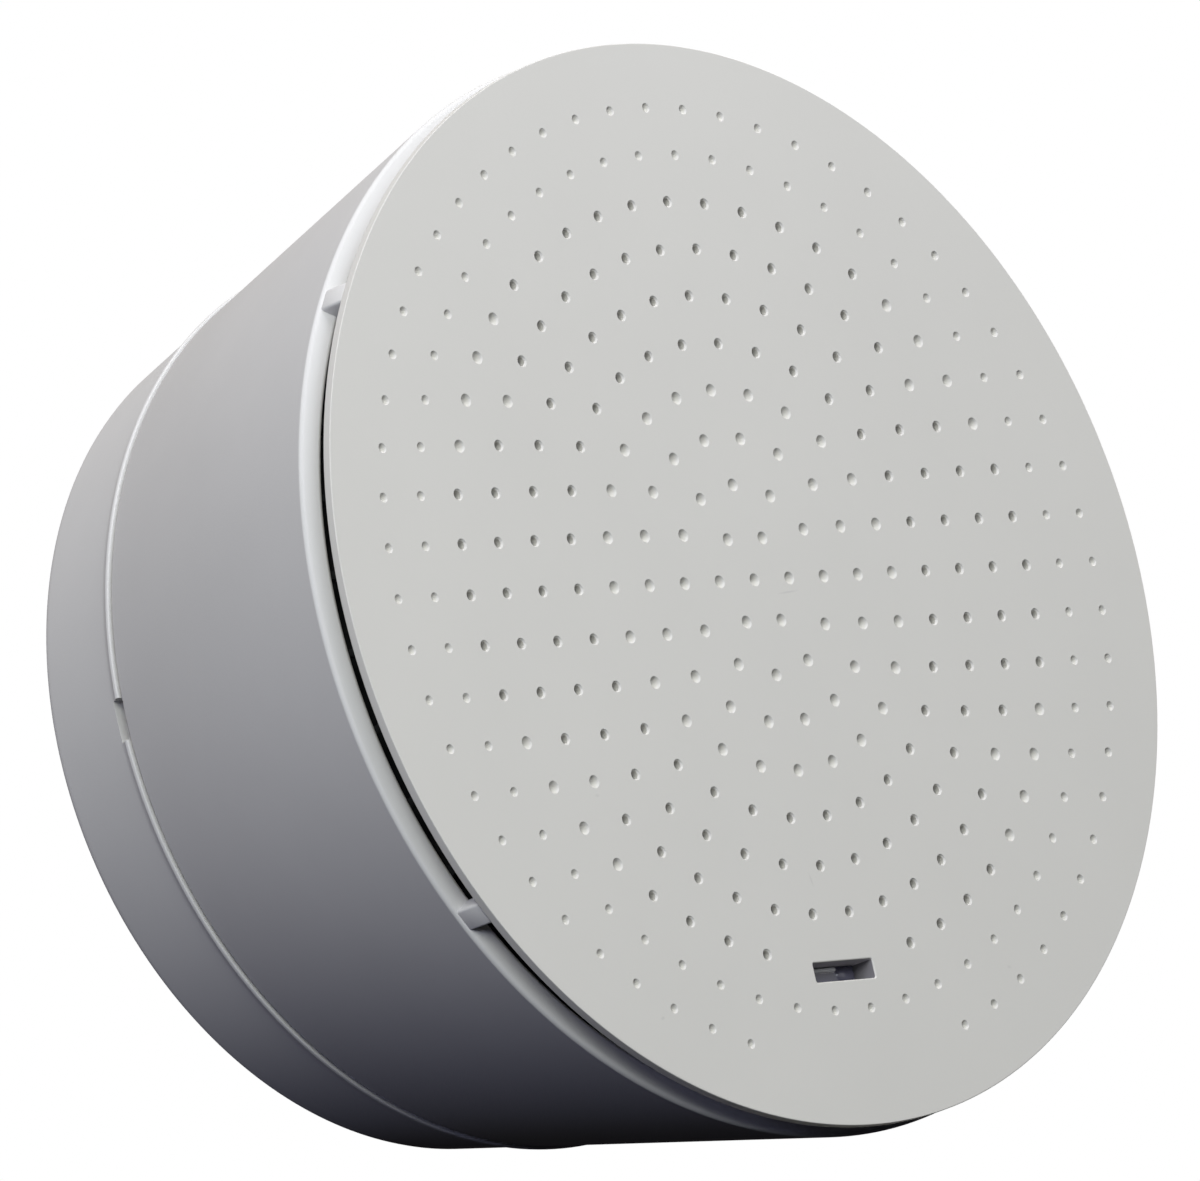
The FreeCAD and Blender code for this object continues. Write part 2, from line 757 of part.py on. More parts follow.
def contact(first, last, side):
    """Spring-brass strip at one end of the tray, with a bump for each cell it touches."""
    edge_out = cell_axis_out - tray_edge_below_axis
    left = cell_x(first) - contact_width / 2
    right = cell_x(last) + contact_width / 2
    strip = block(right - left, contact_thickness, edge_out, edge_out + contact_height,
                  (left + right) / 2, side * (bay_half - contact_thickness / 2))
    bumps = []
    for number in range(first, last + 1):
        tip = Vector(cell_x(number), -cell_axis_out, side * cell_length / 2)
        bumps.append(Part.makeCone(contact_bump_radius / 2, contact_bump_radius, contact_bump,
                                   tip, Vector(0, 0, side)))
    return fused([strip] + bumps)


def switch_case(clock):
    """Square case of a push switch on the back of the board."""
    x, z = clock_place(clock, switch_radial)
    case_out = board_out - switch_height
    case = block(switch_side, switch_side, case_out, board_out, x, z)
    return case.cut(rod(x, z, case_out - cut_margin, case_out + stem_inside + stem_travel,
                        stem_radius + stem_clearance))


def switch_stem(clock, reach):
    """Round stem of a push switch."""
    x, z = clock_place(clock, switch_radial)
    case_out = board_out - switch_height
    return rod(x, z, case_out - reach, case_out + stem_inside, stem_radius)


def build_all():
    """Every sub-part by node name."""
    parts = {
        "wall_base": wall_base(),
        "housing": housing(),
        "face_plate": face_plate(),
        "face_screws": face_screws(),
        "light_guide": light_guide(),
        "status_led": status_led(),
        "main_board": main_board(),
        "board_screws": board_screws(),
        "radio_board": radio_board(),
        "radio_shield": radio_shield(),
        "antenna_wire": antenna_wire(),
        "microcontroller": microcontroller(),
        "capacitor_large": capacitor(capacitor_large_clock),
        "capacitor_small": capacitor(capacitor_small_clock),
        "drive_transformer": drive_transformer(),
        "sounder_connector": sounder_connector(),
        "sounder_wire_red": sounder_wire(-1),
        "sounder_wire_black": sounder_wire(1),
        "sounder_body": sounder_body(),
        "sounder_cap": sounder_cap(),
        "sounder_gasket": sounder_gasket(),
        "sounder_screws": sounder_screws(),
        "brass_disc": brass_disc(),
        "ceramic_disc": ceramic_disc(),
        "battery_tray": battery_tray(),
        "contact_positive": contact(0, 0, 1),
        "contact_link_upper": contact(1, 2, 1),
        "contact_link_lower": contact(0, 1, -1),
        "contact_negative": contact(2, 2, -1),
        "tamper_switch": switch_case(tamper_clock),
        "tamper_plunger": switch_stem(tamper_clock, tamper_reach),
        "learn_switch": switch_case(learn_clock),
        "learn_button": switch_stem(learn_clock, learn_reach),
    }
    for number in range(cell_count):
        parts[f"battery_cell_{number + 1}"] = battery_cell(number)
    return parts


os.makedirs("parts", exist_ok=True)
for name, shape in build_all().items():
    shape.exportStep(f"parts/{name}.step")
    print(name, "solids", len(shape.Solids), "valid", shape.isValid(), "volume", round(shape.Volume, 2))
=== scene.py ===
import bmesh
import bpy
import json
import math
from mathutils import Euler, Matrix, Vector

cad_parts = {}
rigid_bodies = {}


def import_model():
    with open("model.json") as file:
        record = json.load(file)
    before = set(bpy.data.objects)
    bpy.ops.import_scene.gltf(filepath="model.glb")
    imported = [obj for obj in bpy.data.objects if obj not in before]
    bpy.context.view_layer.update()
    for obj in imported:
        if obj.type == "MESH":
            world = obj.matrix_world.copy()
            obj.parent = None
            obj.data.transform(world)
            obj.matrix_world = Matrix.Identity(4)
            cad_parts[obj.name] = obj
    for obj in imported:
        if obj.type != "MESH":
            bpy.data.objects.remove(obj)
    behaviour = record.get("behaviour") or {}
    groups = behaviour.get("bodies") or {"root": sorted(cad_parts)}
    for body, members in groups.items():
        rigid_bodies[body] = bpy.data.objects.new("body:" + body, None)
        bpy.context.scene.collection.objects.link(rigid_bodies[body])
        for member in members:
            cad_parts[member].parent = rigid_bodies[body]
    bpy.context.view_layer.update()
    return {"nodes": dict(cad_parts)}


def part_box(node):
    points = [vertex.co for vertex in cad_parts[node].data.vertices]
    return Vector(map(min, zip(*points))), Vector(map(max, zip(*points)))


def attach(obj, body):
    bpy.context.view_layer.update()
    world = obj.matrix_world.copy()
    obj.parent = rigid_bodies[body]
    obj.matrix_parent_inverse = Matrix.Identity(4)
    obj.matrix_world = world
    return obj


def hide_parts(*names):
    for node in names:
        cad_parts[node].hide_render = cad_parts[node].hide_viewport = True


for leftover in list(bpy.data.objects):
    bpy.data.objects.remove(leftover, do_unlink=True)
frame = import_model()

# Wall base
# A shallow cup injection-moulded in fine-textured white plastic and screwed flat to the
# wall. Its front edge stands a little proud of the housing, so that the seam reads as a
# thin bright line, and a pry notch is cut into that edge at each side.
back_radius = 0.04270
taper = 12.0 / 52.2
seam_out = 0.01395
cup_wall = 0.0022
seam_lip = 0.00025
seam_ramp = 0.0008
seam_back_round = 0.00015
seam_front_round = 0.00014
back_edge_round = 0.0012
spigot_radius = 0.04357
spigot_height = 0.00305
spigot_wall = 0.0016
spigot_root = 0.0015
spigot_round = 0.0003
cup_floor_round = 0.0009
notch_width = 0.0042
notch_depth = 0.0013
notch_gap = 0.0001
notch_reach = 0.006
cut_margin = 0.001
notch_clocks = (90, 270)
wall_hole_radius = 0.00225
wall_hole_sink = 0.0032
wall_hole_height = 0.034
wall_hole_top = 0.0040
pin_mark_count = 8
pin_mark_clock = 22.5
pin_mark_radius = 0.0021
pin_mark_depth = 0.00012
pin_mark_ring = 0.0335
cover_post_clock = 90
cover_post_radial = 0.0345
cover_post_radius = 0.0025
cover_post_top = 0.0130
cover_post_round = 0.0003
base_rib_half_length = 0.0252
base_rib_half_width = 0.0006
base_rib_height = 0.010
base_rib_top = 0.0042
base_rib_round = 0.0002
white_plastic_colour = (0.700, 0.694, 0.692)

# Everything round is drawn upright, with the wall plane at z = 0 and the front at the
# top, and then laid over so that the front looks along -Y.
lay_over = Matrix.Rotation(math.radians(90), 4, "X")


def cone_radius(out):
    """Outside radius of the drum at a height above the wall."""
    return back_radius + taper * out


def inner_radius(out):
    """Inside radius of the drum's wall at a height above the wall."""
    return cone_radius(out) - cup_wall * math.sqrt(1 + taper ** 2)


def clock_place(clock, radius, out=0.0):
    """Upright place at a clock angle, with 0 up and 90 right as seen from the front."""
    angle = math.radians(clock)
    return Vector((radius * math.sin(angle), radius * math.cos(angle), out))


def softened(corners, rounds, steps=4):
    """The corners of a closed outline, each one in rounds, by number, turned into an arc.

    A point beside each end of an arc, where the run beyond it is long, keeps flats flat.
    """
    outline = []
    for number, corner in enumerate(corners):
        here = Vector(corner)
        if number not in rounds:
            outline.append(tuple(here))
            continue
        to_back = Vector(corners[number - 1]) - here
        to_ahead = Vector(corners[(number + 1) % len(corners)]) - here
        back, ahead = to_back.normalized(), to_ahead.normalized()
        half = back.angle(ahead) / 2
        centre = here + (back + ahead).normalized() * rounds[number] / math.sin(half)
        reach = rounds[number] / math.tan(half)
        first = here + back * reach - centre
        last = here + ahead * reach - centre
        if to_back.length > 3 * reach:
            outline.append(tuple(here + back * reach * 1.4))
        for step in range(steps + 1):
            share = step / steps
            spoke = first * (1 - share) + last * share
            outline.append(tuple(centre + spoke.normalized() * rounds[number]))
        if to_ahead.length > 3 * reach:
            outline.append(tuple(here + ahead * reach * 1.4))
    return outline


def turned(outline, segments=256):
    """Mesh of a closed (radius, out) outline turned about the drum's axis."""
    work = bmesh.new()
    rings = []
    for radius, out in outline:
        if radius < 1e-7:
            rings.append([work.verts.new((0, 0, out))])
            continue
        angles = [2 * math.pi * number / segments for number in range(segments)]
        rings.append([work.verts.new((radius * math.cos(a), radius * math.sin(a), out)) for a in angles])
    for near, far in zip(rings, rings[1:] + rings[:1]):
        if len(near) == 1 and len(far) == 1:
            continue
        for number in range(segments):
            after = (number + 1) % segments
            if len(near) == 1:
                work.faces.new((near[0], far[number], far[after]))
            elif len(far) == 1:
                work.faces.new((near[number], near[after], far[0]))
            else:
                work.faces.new((near[number], near[after], far[after], far[number]))
    bmesh.ops.recalc_face_normals(work, faces=work.faces)
    mesh = bpy.data.meshes.new("turned")
    work.to_mesh(mesh)
    work.free()
    return mesh


def boxed(low, high, edge=0.0, steps=2):
    """Mesh of a box between two upright corners, with its edges rounded."""
    work = bmesh.new()
    bmesh.ops.create_cube(work, size=1)
    for corner in work.verts:
        corner.co = Vector([low[i] if corner.co[i] < 0 else high[i] for i in range(3)])
    if edge:
        bmesh.ops.bevel(work, geom=list(work.edges), offset=edge, segments=steps, profile=0.5,
                        affect="EDGES")
    mesh = bpy.data.meshes.new("boxed")
    work.to_mesh(mesh)
    work.free()
    return mesh


def moved(mesh, place=(0, 0, 0), clock=0.0):
    """The mesh turned to a clock angle and set down at an upright place."""
    mesh.transform(Matrix.Translation(place) @ Matrix.Rotation(-math.radians(clock), 4, "Z"))
    return mesh


def joined(name, meshes):
    """One object, laid over into the frame, from upright meshes."""
    work = bmesh.new()
    for mesh in meshes:
        work.from_mesh(mesh)
        bpy.data.meshes.remove(mesh)
    whole = bpy.data.meshes.new(name)
    work.to_mesh(whole)
    work.free()
    whole.transform(lay_over)
    piece = bpy.data.objects.new(name, whole)
    bpy.context.scene.collection.objects.link(piece)
    return piece


def flattened(piece):
    """Replaces the piece's mesh by what its modifiers make of it, and drops them."""
    result = piece.evaluated_get(bpy.context.evaluated_depsgraph_get())
    mesh = bpy.data.meshes.new_from_object(result)
    piece.modifiers.clear()
    piece.data = mesh
    mesh.name = piece.name


def cut_out(piece, meshes):
    """Cuts closed upright meshes, which may not overlap, out of a piece."""
    cutter = joined("cutter", meshes)
    tool = piece.modifiers.new("cut", "BOOLEAN")
    tool.operation = "DIFFERENCE"
    tool.solver = "EXACT"
    tool.object = cutter
    flattened(piece)
    bpy.data.objects.remove(cutter, do_unlink=True)


def dressed(piece, material, body="siren", replaces=None, crease=35):
    """Shades a finished piece, gives it its material and ties it to the frame."""
    mesh = piece.data
    mesh.polygons.foreach_set("use_smooth", [True] * len(mesh.polygons))
    mesh.set_sharp_from_angle(angle=math.radians(crease))
    mesh.materials.clear()
    mesh.materials.append(material)
    if replaces:
        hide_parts(replaces)
    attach(piece, body)


def noise_value(nodes, links, scale, detail=3, roughness=0.55, stretch=None):
    """Fac of a noise in the piece's own coordinates."""
    where = nodes.new("ShaderNodeTexCoord").outputs["Object"]
    if stretch:
        mapping = nodes.new("ShaderNodeMapping")
        mapping.inputs["Scale"].default_value = stretch
        links.new(where, mapping.inputs["Vector"])
        where = mapping.outputs["Vector"]
    noise = nodes.new("ShaderNodeTexNoise")
    noise.inputs["Scale"].default_value = scale
    noise.inputs["Detail"].default_value = detail
    noise.inputs["Roughness"].default_value = roughness
    links.new(where, noise.inputs["Vector"])
    return noise.outputs["Fac"]


def spread(nodes, links, value, low, high, from_low=0.3, from_high=0.7):
    """The value stretched from one range to another."""
    remap = nodes.new("ShaderNodeMapRange")
    remap.inputs["From Min"].default_value = from_low
    remap.inputs["From Max"].default_value = from_high
    remap.inputs["To Min"].default_value = low
    remap.inputs["To Max"].default_value = high
    links.new(value, remap.inputs["Value"])
    return remap.outputs["Result"]


def raised(nodes, links, value, strength, distance, under=None):
    """Normal of a relief whose height is the value, on top of another relief."""
    relief = nodes.new("ShaderNodeBump")
    relief.inputs["Strength"].default_value = strength
    relief.inputs["Distance"].default_value = distance
    links.new(value, relief.inputs["Height"])
    if under:
        links.new(under, relief.inputs["Normal"])
    return relief.outputs["Normal"]


def mixed_colour(nodes, links, share, first, second):
    """Colour between two, each a fixed colour or a socket, by a share from 0 to 1."""
    mix = nodes.new("ShaderNodeMix")
    mix.data_type = "RGBA"
    links.new(share, mix.inputs["Factor"])
    for socket, colour in ((mix.inputs["A"], first), (mix.inputs["B"], second)):
        if isinstance(colour, tuple):
            socket.default_value = (*colour, 1)
        else:
            links.new(colour, socket)
    return mix.outputs["Result"]


def moulded_plastic(name, colour, roughness=0.58, mottle=0.018, grain=0.35, specular=0.10):
    """Spark-textured moulded plastic: faint cloudy mottling and an even fine grain."""
    made = bpy.data.materials.new(name)
    made.use_nodes = True
    nodes, links = made.node_tree.nodes, made.node_tree.links
    skin = nodes["Principled BSDF"]
    skin.inputs["IOR"].default_value = 1.47
    skin.inputs["Specular IOR Level"].default_value = specular
    cloud = noise_value(nodes, links, 55, 4)
    darker = tuple(part * (1 - mottle) for part in colour)
    lighter = tuple(part * (1 + mottle) for part in colour)
    share = spread(nodes, links, cloud, 0, 1)
    links.new(mixed_colour(nodes, links, share, darker, lighter), skin.inputs["Base Color"])
    polish = spread(nodes, links, cloud, roughness + 0.035, roughness - 0.035)
    links.new(polish, skin.inputs["Roughness"])
    sparks = noise_value(nodes, links, 4200, 2, 0.6)
    links.new(raised(nodes, links, sparks, grain, 0.00002), skin.inputs["Normal"])
    return made


white_plastic = moulded_plastic("white_plastic", white_plastic_colour, specular=0.0)

seam_radius = cone_radius(seam_out) + seam_lip
spigot_inner = spigot_radius - spigot_wall
base_outline = softened([
    (0, 0), (back_radius, 0), (cone_radius(seam_out - 2 * seam_ramp), seam_out - 2 * seam_ramp),
    (cone_radius(seam_out - seam_ramp), seam_out - seam_ramp),
    (seam_radius, seam_out - seam_ramp / 2), (seam_radius, seam_out),
    (spigot_radius, seam_out), (spigot_radius, seam_out + spigot_height),
    (spigot_inner, seam_out + spigot_height), (spigot_inner, seam_out - spigot_root),
    (inner_radius(cup_wall), cup_wall), (0, cup_wall)],
    {1: back_edge_round, 4: seam_back_round, 5: seam_front_round, 7: spigot_round, 8: spigot_round,
     10: cup_floor_round})
wall_base = joined("wall_base_cup", [turned(base_outline)])
notch = ((-notch_width / 2, spigot_radius + notch_gap, seam_out - notch_depth),
         (notch_width / 2, spigot_radius + notch_reach, seam_out + cut_margin))
cutters = [moved(boxed(*notch), clock=clock) for clock in notch_clocks]
for side in (-1, 1):
    sink_out = cup_wall - (wall_hole_sink - wall_hole_radius)
    bore = turned([(0, -cut_margin), (wall_hole_radius, -cut_margin), (wall_hole_radius, sink_out),
                   (wall_hole_sink, cup_wall), (wall_hole_sink, wall_hole_top), (0, wall_hole_top)], 64)
    cutters.append(moved(bore, (0, side * wall_hole_height, 0)))
for number in range(pin_mark_count):
    mark = turned([(0, -cut_margin), (pin_mark_radius, -cut_margin), (pin_mark_radius, pin_mark_depth),
                   (0, pin_mark_depth)], 32)
    cutters.append(moved(mark, clock_place(pin_mark_clock + number * 360 / pin_mark_count, pin_mark_ring)))
cut_out(wall_base, cutters)
dressed(wall_base, white_plastic, replaces="wall_base")

post_outline = softened([(0, cup_wall / 2), (cover_post_radius, cup_wall / 2),
                         (cover_post_radius, cover_post_top), (0, cover_post_top)],
                        {2: cover_post_round})
base_inside = [moved(turned(post_outline, 48), clock_place(cover_post_clock, cover_post_radial))]
for side in (-1, 1):
    rib_middle = side * base_rib_height
    base_inside.append(boxed(
        (-base_rib_half_length, rib_middle - base_rib_half_width, cup_wall / 2),
        (base_rib_half_length, rib_middle + base_rib_half_width, base_rib_top), base_rib_round))
dressed(joined("wall_base_ribs", base_inside), white_plastic)

# Housing
# The tapered front shell, moulded in the same white plastic: it slides over the base's
# spigot and ends in a rounded lip and a gently sloping ledge, with ribs on the chamber's
# wall inside it. Four small bridges reach across the sound slot to the face.
housing_back_out = 0.01425
face_radius = 0.0546
total_depth = 0.0566
ledge_out = 0.05315
lip_out = 0.05220
lip_radius = 0.05470
ledge_outer_radius = 0.05440
ledge_edge_out = 0.05265
ledge_inner_radius = 0.05250
lip_bulge = 0.64
lip_steps = 8
chamber_edge_round = 0.00050
chamber_edge_steps = 5
shell_edge = 0.00012
chamber_margin = 0.0002
# Painted shade for the sound chamber's inside, its ribs and the outer sides of the face's feet.
chamber_painted_shade_colour = (0.045, 0.046, 0.050)
deck_out = 0.0460
deck_front_out = 0.0480
horn_opening_radius = 0.0245
foot_clocks = (55.7, 124.3, 235.7, 304.3)
bridge_width = 0.0024
bridge_top_out = 0.0556
bridge_inset = 0.0001
bridge_sink = 0.0002
bridge_round = 0.00028
rib_count = 42
rib_thickness = 0.0008
rib_depth = 0.00245
rib_root = 0.0006
rib_below_ledge = 0.0012
rib_round = 0.0002
pillar_clocks = (45, 135, 225, 315)
pillar_radial = 0.0365
pillar_radius = 0.0034
pillar_bore_radius = 0.0015
pillar_edge_round = 0.0002
post_sink = 0.0005
board_front_out = 0.0242
sounder_screw_clocks = (30, 150, 270)
sounder_screw_ring = 0.0276
sounder_boss_radius = 0.0026
sounder_boss_top = 0.0520
sounder_boss_round = 0.0003
window_width = 0.00820
window_height = 0.00195
window_radius = 0.03925


def arc_through(start, middle, end, steps):
    """Points of the arc that leads from start to end through middle."""
    start, middle, end = Vector(start), Vector(middle), Vector(end)
    first_chord, second_chord = middle - start, end - start
    cross = 2 * (first_chord.x * second_chord.y - first_chord.y * second_chord.x)
    first_square, second_square = first_chord.length_squared, second_chord.length_squared
    centre = start + Vector((second_chord.y * first_square - first_chord.y * second_square,
                             first_chord.x * second_square - second_chord.x * first_square)) / cross
    arc_radius = (start - centre).length
    first = math.atan2(start.y - centre.y, start.x - centre.x)
    last = math.atan2(end.y - centre.y, end.x - centre.x)
    points = []
    for step in range(steps + 1):
        angle = first + (last - first) * step / steps
        points.append((centre.x + arc_radius * math.cos(angle), centre.y + arc_radius * math.sin(angle)))
    return points


def tree_with(name, sizes, blocks=()):
    """New geometry tree with a geometry input, named number inputs and object inputs."""
    tree = bpy.data.node_groups.new(name, "GeometryNodeTree")
    faces = tree.interface
    faces.new_socket("Geometry", in_out="INPUT", socket_type="NodeSocketGeometry")
    for label in sizes:
        faces.new_socket(label, in_out="INPUT", socket_type="NodeSocketFloat")
    for label in blocks:
        faces.new_socket(label, in_out="INPUT", socket_type="NodeSocketObject")
    faces.new_socket("Material", in_out="INPUT", socket_type="NodeSocketMaterial")
    faces.new_socket("Geometry", in_out="OUTPUT", socket_type="NodeSocketGeometry")
    return tree


def grown(piece, tree, values):
    """Runs a tree on the piece with its inputs set by their labels, and keeps the mesh."""
    grower = piece.modifiers.new(tree.name, "NODES")
    grower.node_group = tree
    for socket in tree.interface.items_tree:
        if socket.in_out == "INPUT" and socket.name in values:
            grower[socket.identifier] = values[socket.name]
    flattened(piece)


def linked(tree, kind, inputs=None, **settings):
    """New node in a tree with its settings made and its inputs filled or linked."""
    node = tree.nodes.new(kind)
    for setting, value in settings.items():
        setattr(node, setting, value)
    for label, value in (inputs or {}).items():
        socket = node.inputs[label]
        if isinstance(value, bpy.types.NodeSocket):
            tree.links.new(value, socket)
        else:
            socket.default_value = value
    return node


ring_tree = tree_with("blocks_around_axis", ["Count", "First clock"], ["Block"])
ring_in = ring_tree.nodes.new("NodeGroupInput").outputs
block_source = linked(ring_tree, "GeometryNodeObjectInfo", {"Object": ring_in["Block"]})
block_points = linked(ring_tree, "GeometryNodePoints", {"Count": ring_in["Count"]})
block_index = linked(ring_tree, "GeometryNodeInputIndex")
block_step = linked(ring_tree, "ShaderNodeMath", {0: 2 * math.pi, 1: ring_in["Count"]},
                    operation="DIVIDE")
block_turn = linked(ring_tree, "ShaderNodeMath", {0: block_index.outputs[0], 1: block_step.outputs[0],
                                                  2: ring_in["First clock"]}, operation="MULTIPLY_ADD")
block_angles = linked(ring_tree, "ShaderNodeCombineXYZ", {"Y": block_turn.outputs[0]})
block_copies = linked(ring_tree, "GeometryNodeInstanceOnPoints", {
    "Points": block_points.outputs[0], "Instance": block_source.outputs["Geometry"],
    "Rotation": block_angles.outputs[0]})
block_real = linked(ring_tree, "GeometryNodeRealizeInstances", {"Geometry": block_copies.outputs[0]})
block_finish = linked(ring_tree, "GeometryNodeSetMaterial", {
    "Geometry": block_real.outputs[0], "Material": ring_in["Material"]})
linked(ring_tree, "NodeGroupOutput", {"Geometry": block_finish.outputs[0]})


def ring_of(name, block_meshes, count, first_clock, material):
    """Copies of an upright block, drawn at the top, evenly round the drum's axis."""
    block = joined(name + "_block", block_meshes)
    piece = joined(name, [])
    grown(piece, ring_tree, {"Count": float(count), "First clock": math.radians(first_clock),
                             "Block": block, "Material": material})
    bpy.data.objects.remove(block, do_unlink=True)
    return piece


chamber_radius = inner_radius(deck_front_out)
shell_outline = [(cone_radius(housing_back_out) - shell_edge, housing_back_out),
                 (cone_radius(housing_back_out), housing_back_out + shell_edge),
                 (cone_radius(housing_back_out + 2 * shell_edge), housing_back_out + 2 * shell_edge),
                 (cone_radius(lip_out - shell_edge), lip_out - shell_edge)]
lip_middle = (ledge_outer_radius + lip_bulge * (lip_radius - ledge_outer_radius),
              lip_out + lip_bulge * (ledge_edge_out - lip_out))
shell_outline += arc_through((lip_radius, lip_out), lip_middle, (ledge_outer_radius, ledge_edge_out),
                             lip_steps)
ledge_fall = (ledge_out - ledge_edge_out) / (ledge_outer_radius - ledge_inner_radius - chamber_edge_round)
shell_outline += [(ledge_outer_radius - shell_edge, ledge_edge_out + ledge_fall * shell_edge),
                  (ledge_inner_radius + chamber_edge_round + shell_edge,
                   ledge_out - ledge_fall * shell_edge),
                  (ledge_inner_radius + chamber_edge_round, ledge_out)]
for step in range(1, chamber_edge_steps + 1):
    roll = math.pi / 2 * step / chamber_edge_steps
    shell_outline.append((ledge_inner_radius + chamber_edge_round * (1 - math.sin(roll)),
                          ledge_out - chamber_edge_round * (1 - math.cos(roll))))
shell_outline += [(ledge_inner_radius, ledge_out - chamber_edge_round - shell_edge),
                  (chamber_radius, deck_front_out),
                  (horn_opening_radius, deck_front_out), (horn_opening_radius, deck_out),
                  (inner_radius(deck_out), deck_out),
                  (inner_radius(housing_back_out), housing_back_out)]
housing = joined("housing_shell", [turned(shell_outline)])
guide_slot = ((-window_width / 2, -window_radius - window_height / 2, deck_out - cut_margin),
              (window_width / 2, -window_radius + window_height / 2, deck_front_out + cut_margin))
cut_out(housing, [boxed(*guide_slot)])
dressed(housing, white_plastic, replaces="housing")
# The chamber's inside, moulded in the same white plastic, is coloured near-black: a painted shade for the
# dark of the sound slot.
chamber_dark = moulded_plastic("chamber_dark", chamber_painted_shade_colour, 0.75, 0.15, 0.8, 0.10)
housing.data.materials.append(chamber_dark)
for facet in housing.data.polygons:
    from_axis = math.hypot(facet.center.x, facet.center.z)
    if -facet.center.y > deck_front_out - chamber_margin and from_axis < ledge_inner_radius:
        facet.material_index = 1

bridges = []
for clock in foot_clocks:
    bridge = boxed((-bridge_width / 2, ledge_inner_radius, ledge_edge_out - bridge_sink),
                   (bridge_width / 2, face_radius - bridge_inset, bridge_top_out), bridge_round, 3)
    bridges.append(moved(bridge, clock=clock))
dressed(joined("housing_bridges", bridges), white_plastic)

rib_block = boxed((-rib_thickness / 2, ledge_inner_radius - rib_depth, deck_front_out - chamber_margin),
                  (rib_thickness / 2, ledge_inner_radius + rib_root, ledge_out - rib_below_ledge),
                  rib_round)
# The ribs carry the same painted shade as the chamber's inside.
housing_ribs = ring_of("housing_ribs", [rib_block], rib_count, 0, chamber_dark)
dressed(housing_ribs, chamber_dark)

inner_posts = []
for clock in pillar_clocks:
    pillar = turned(softened([(pillar_bore_radius, board_front_out), (pillar_radius, board_front_out),
                              (pillar_radius, deck_out + post_sink),
                              (pillar_bore_radius, deck_out + post_sink)], {1: pillar_edge_round}), 40)
    inner_posts.append(moved(pillar, clock_place(clock, pillar_radial)))
for clock in sounder_screw_clocks:
    boss = turned(softened([(0, deck_front_out - post_sink),
                            (sounder_boss_radius, deck_front_out - post_sink),
                            (sounder_boss_radius, sounder_boss_top), (0, sounder_boss_top)],
                           {2: sounder_boss_round}), 40)
    inner_posts.append(moved(boss, clock_place(clock, sounder_screw_ring)))
dressed(joined("housing_posts", inner_posts), white_plastic)

# Face plate
# A flat disc of slightly warmer white plastic, moulded with one dimple and ten rings of
# holes: cone-shaped dimples in the middle and near the edge, and open holes between them.
# A thin rim band, a collar behind the window and four hollow feet make it stiff.
face_thickness = 0.0016
rim_thickness = 0.0010
rim_band = 0.0044
rim_front_round = 0.00009
rim_back_round = 0.00016
hole_pitch = 0.0048
last_ring = 10
first_open_ring = 5
last_open_ring = 8
mouth_radius = 0.00066
open_mouth_radius = 0.00060
edge_mouth_radius = 0.00050
bore_radius = 0.00045
pit_floor_radius = 0.00008
pit_depth = 0.00094
edge_pit_depth = 0.00064
mouth_depth = 0.00020
hole_sides = 20
window_clear = 0.0140
plain_clear = 0.0230
window_corner = 0.00022
window_roll = 0.00012
window_margin = 0.00001
collar_wall = 0.0012
collar_back = 0.0046
foot_radial = 0.0413
foot_radius = 0.0086
foot_wall = 0.0012
foot_boss_radius = 0.0030
foot_bore_radius = 0.0015
foot_keepout = 0.0003
foot_end_round = 0.0002
face_plastic_colour = (0.655, 0.642, 0.616)
# Painted shade for the window's inner walls, lighter on its ceiling, from a little behind the face
# inwards.
window_painted_shade_colour = (0.205, 0.197, 0.210)
window_ceiling_lighter_shade_colour = (0.600, 0.585, 0.610)
window_shade_edge = 0.0001
scuff_colour = (0.300, 0.290, 0.300)
scuffs = (
    (0.00420, -0.00140, 0.00170, 0.00014, 4, 0.18),
    (-0.00170, -0.03010, 0.00090, 0.00016, 100, 0.15),
    (-0.02580, -0.04240, 0.00035, 0.00020, 15, 0.18),
    (-0.02780, -0.02030, 0.00040, 0.00022, 0, 0.12),
    (0.02280, -0.04030, 0.00040, 0.00022, -10, 0.12),
)


def face_hole_places():
    """Place, mouth, bore, depth and openness of every hole and dimple of the face."""
    feet = [clock_place(clock, foot_radial) for clock in foot_clocks]
    places = [(Vector((0, 0, 0)), mouth_radius, pit_floor_radius, pit_depth, 0.0)]
    for ring in range(1, last_ring + 1):
        count = 6 * ring
        start = 180 + (ring % 2) * 180 / count
        for number in range(count):
            place = clock_place(start + number * 360 / count, ring * hole_pitch)
            below = place.y < 0
            if ring == last_open_ring and below and abs(place.x) < window_clear / 2:
                continue
            if ring == last_ring and below and abs(place.x) < plain_clear / 2:
                continue
            reach = foot_radius + bore_radius + foot_keepout
            blocked = any((place - foot).length < reach for foot in feet)
            if first_open_ring <= ring <= last_open_ring and not blocked:
                places.append((place, open_mouth_radius, bore_radius, mouth_depth, 1.0))
            elif ring <= last_open_ring:
                places.append((place, mouth_radius, pit_floor_radius, pit_depth, 0.0))
            else:
                places.append((place, edge_mouth_radius, pit_floor_radius, edge_pit_depth, 0.0))
    return places


def rounded_rectangle(width, height, corner, out, steps=4):
    """Loop of places round an upright rectangle centred on the window."""
    loop = []
    for quarter, (side_x, side_y) in enumerate(((1, 1), (-1, 1), (-1, -1), (1, -1))):
        centre_x = side_x * (width / 2 - corner)
        centre_y = side_y * (height / 2 - corner) - window_radius
        for step in range(steps + 1):
            angle = math.pi / 2 * (quarter + step / steps)
            loop.append((centre_x + corner * math.cos(angle), centre_y + corner * math.sin(angle), out))
    return loop


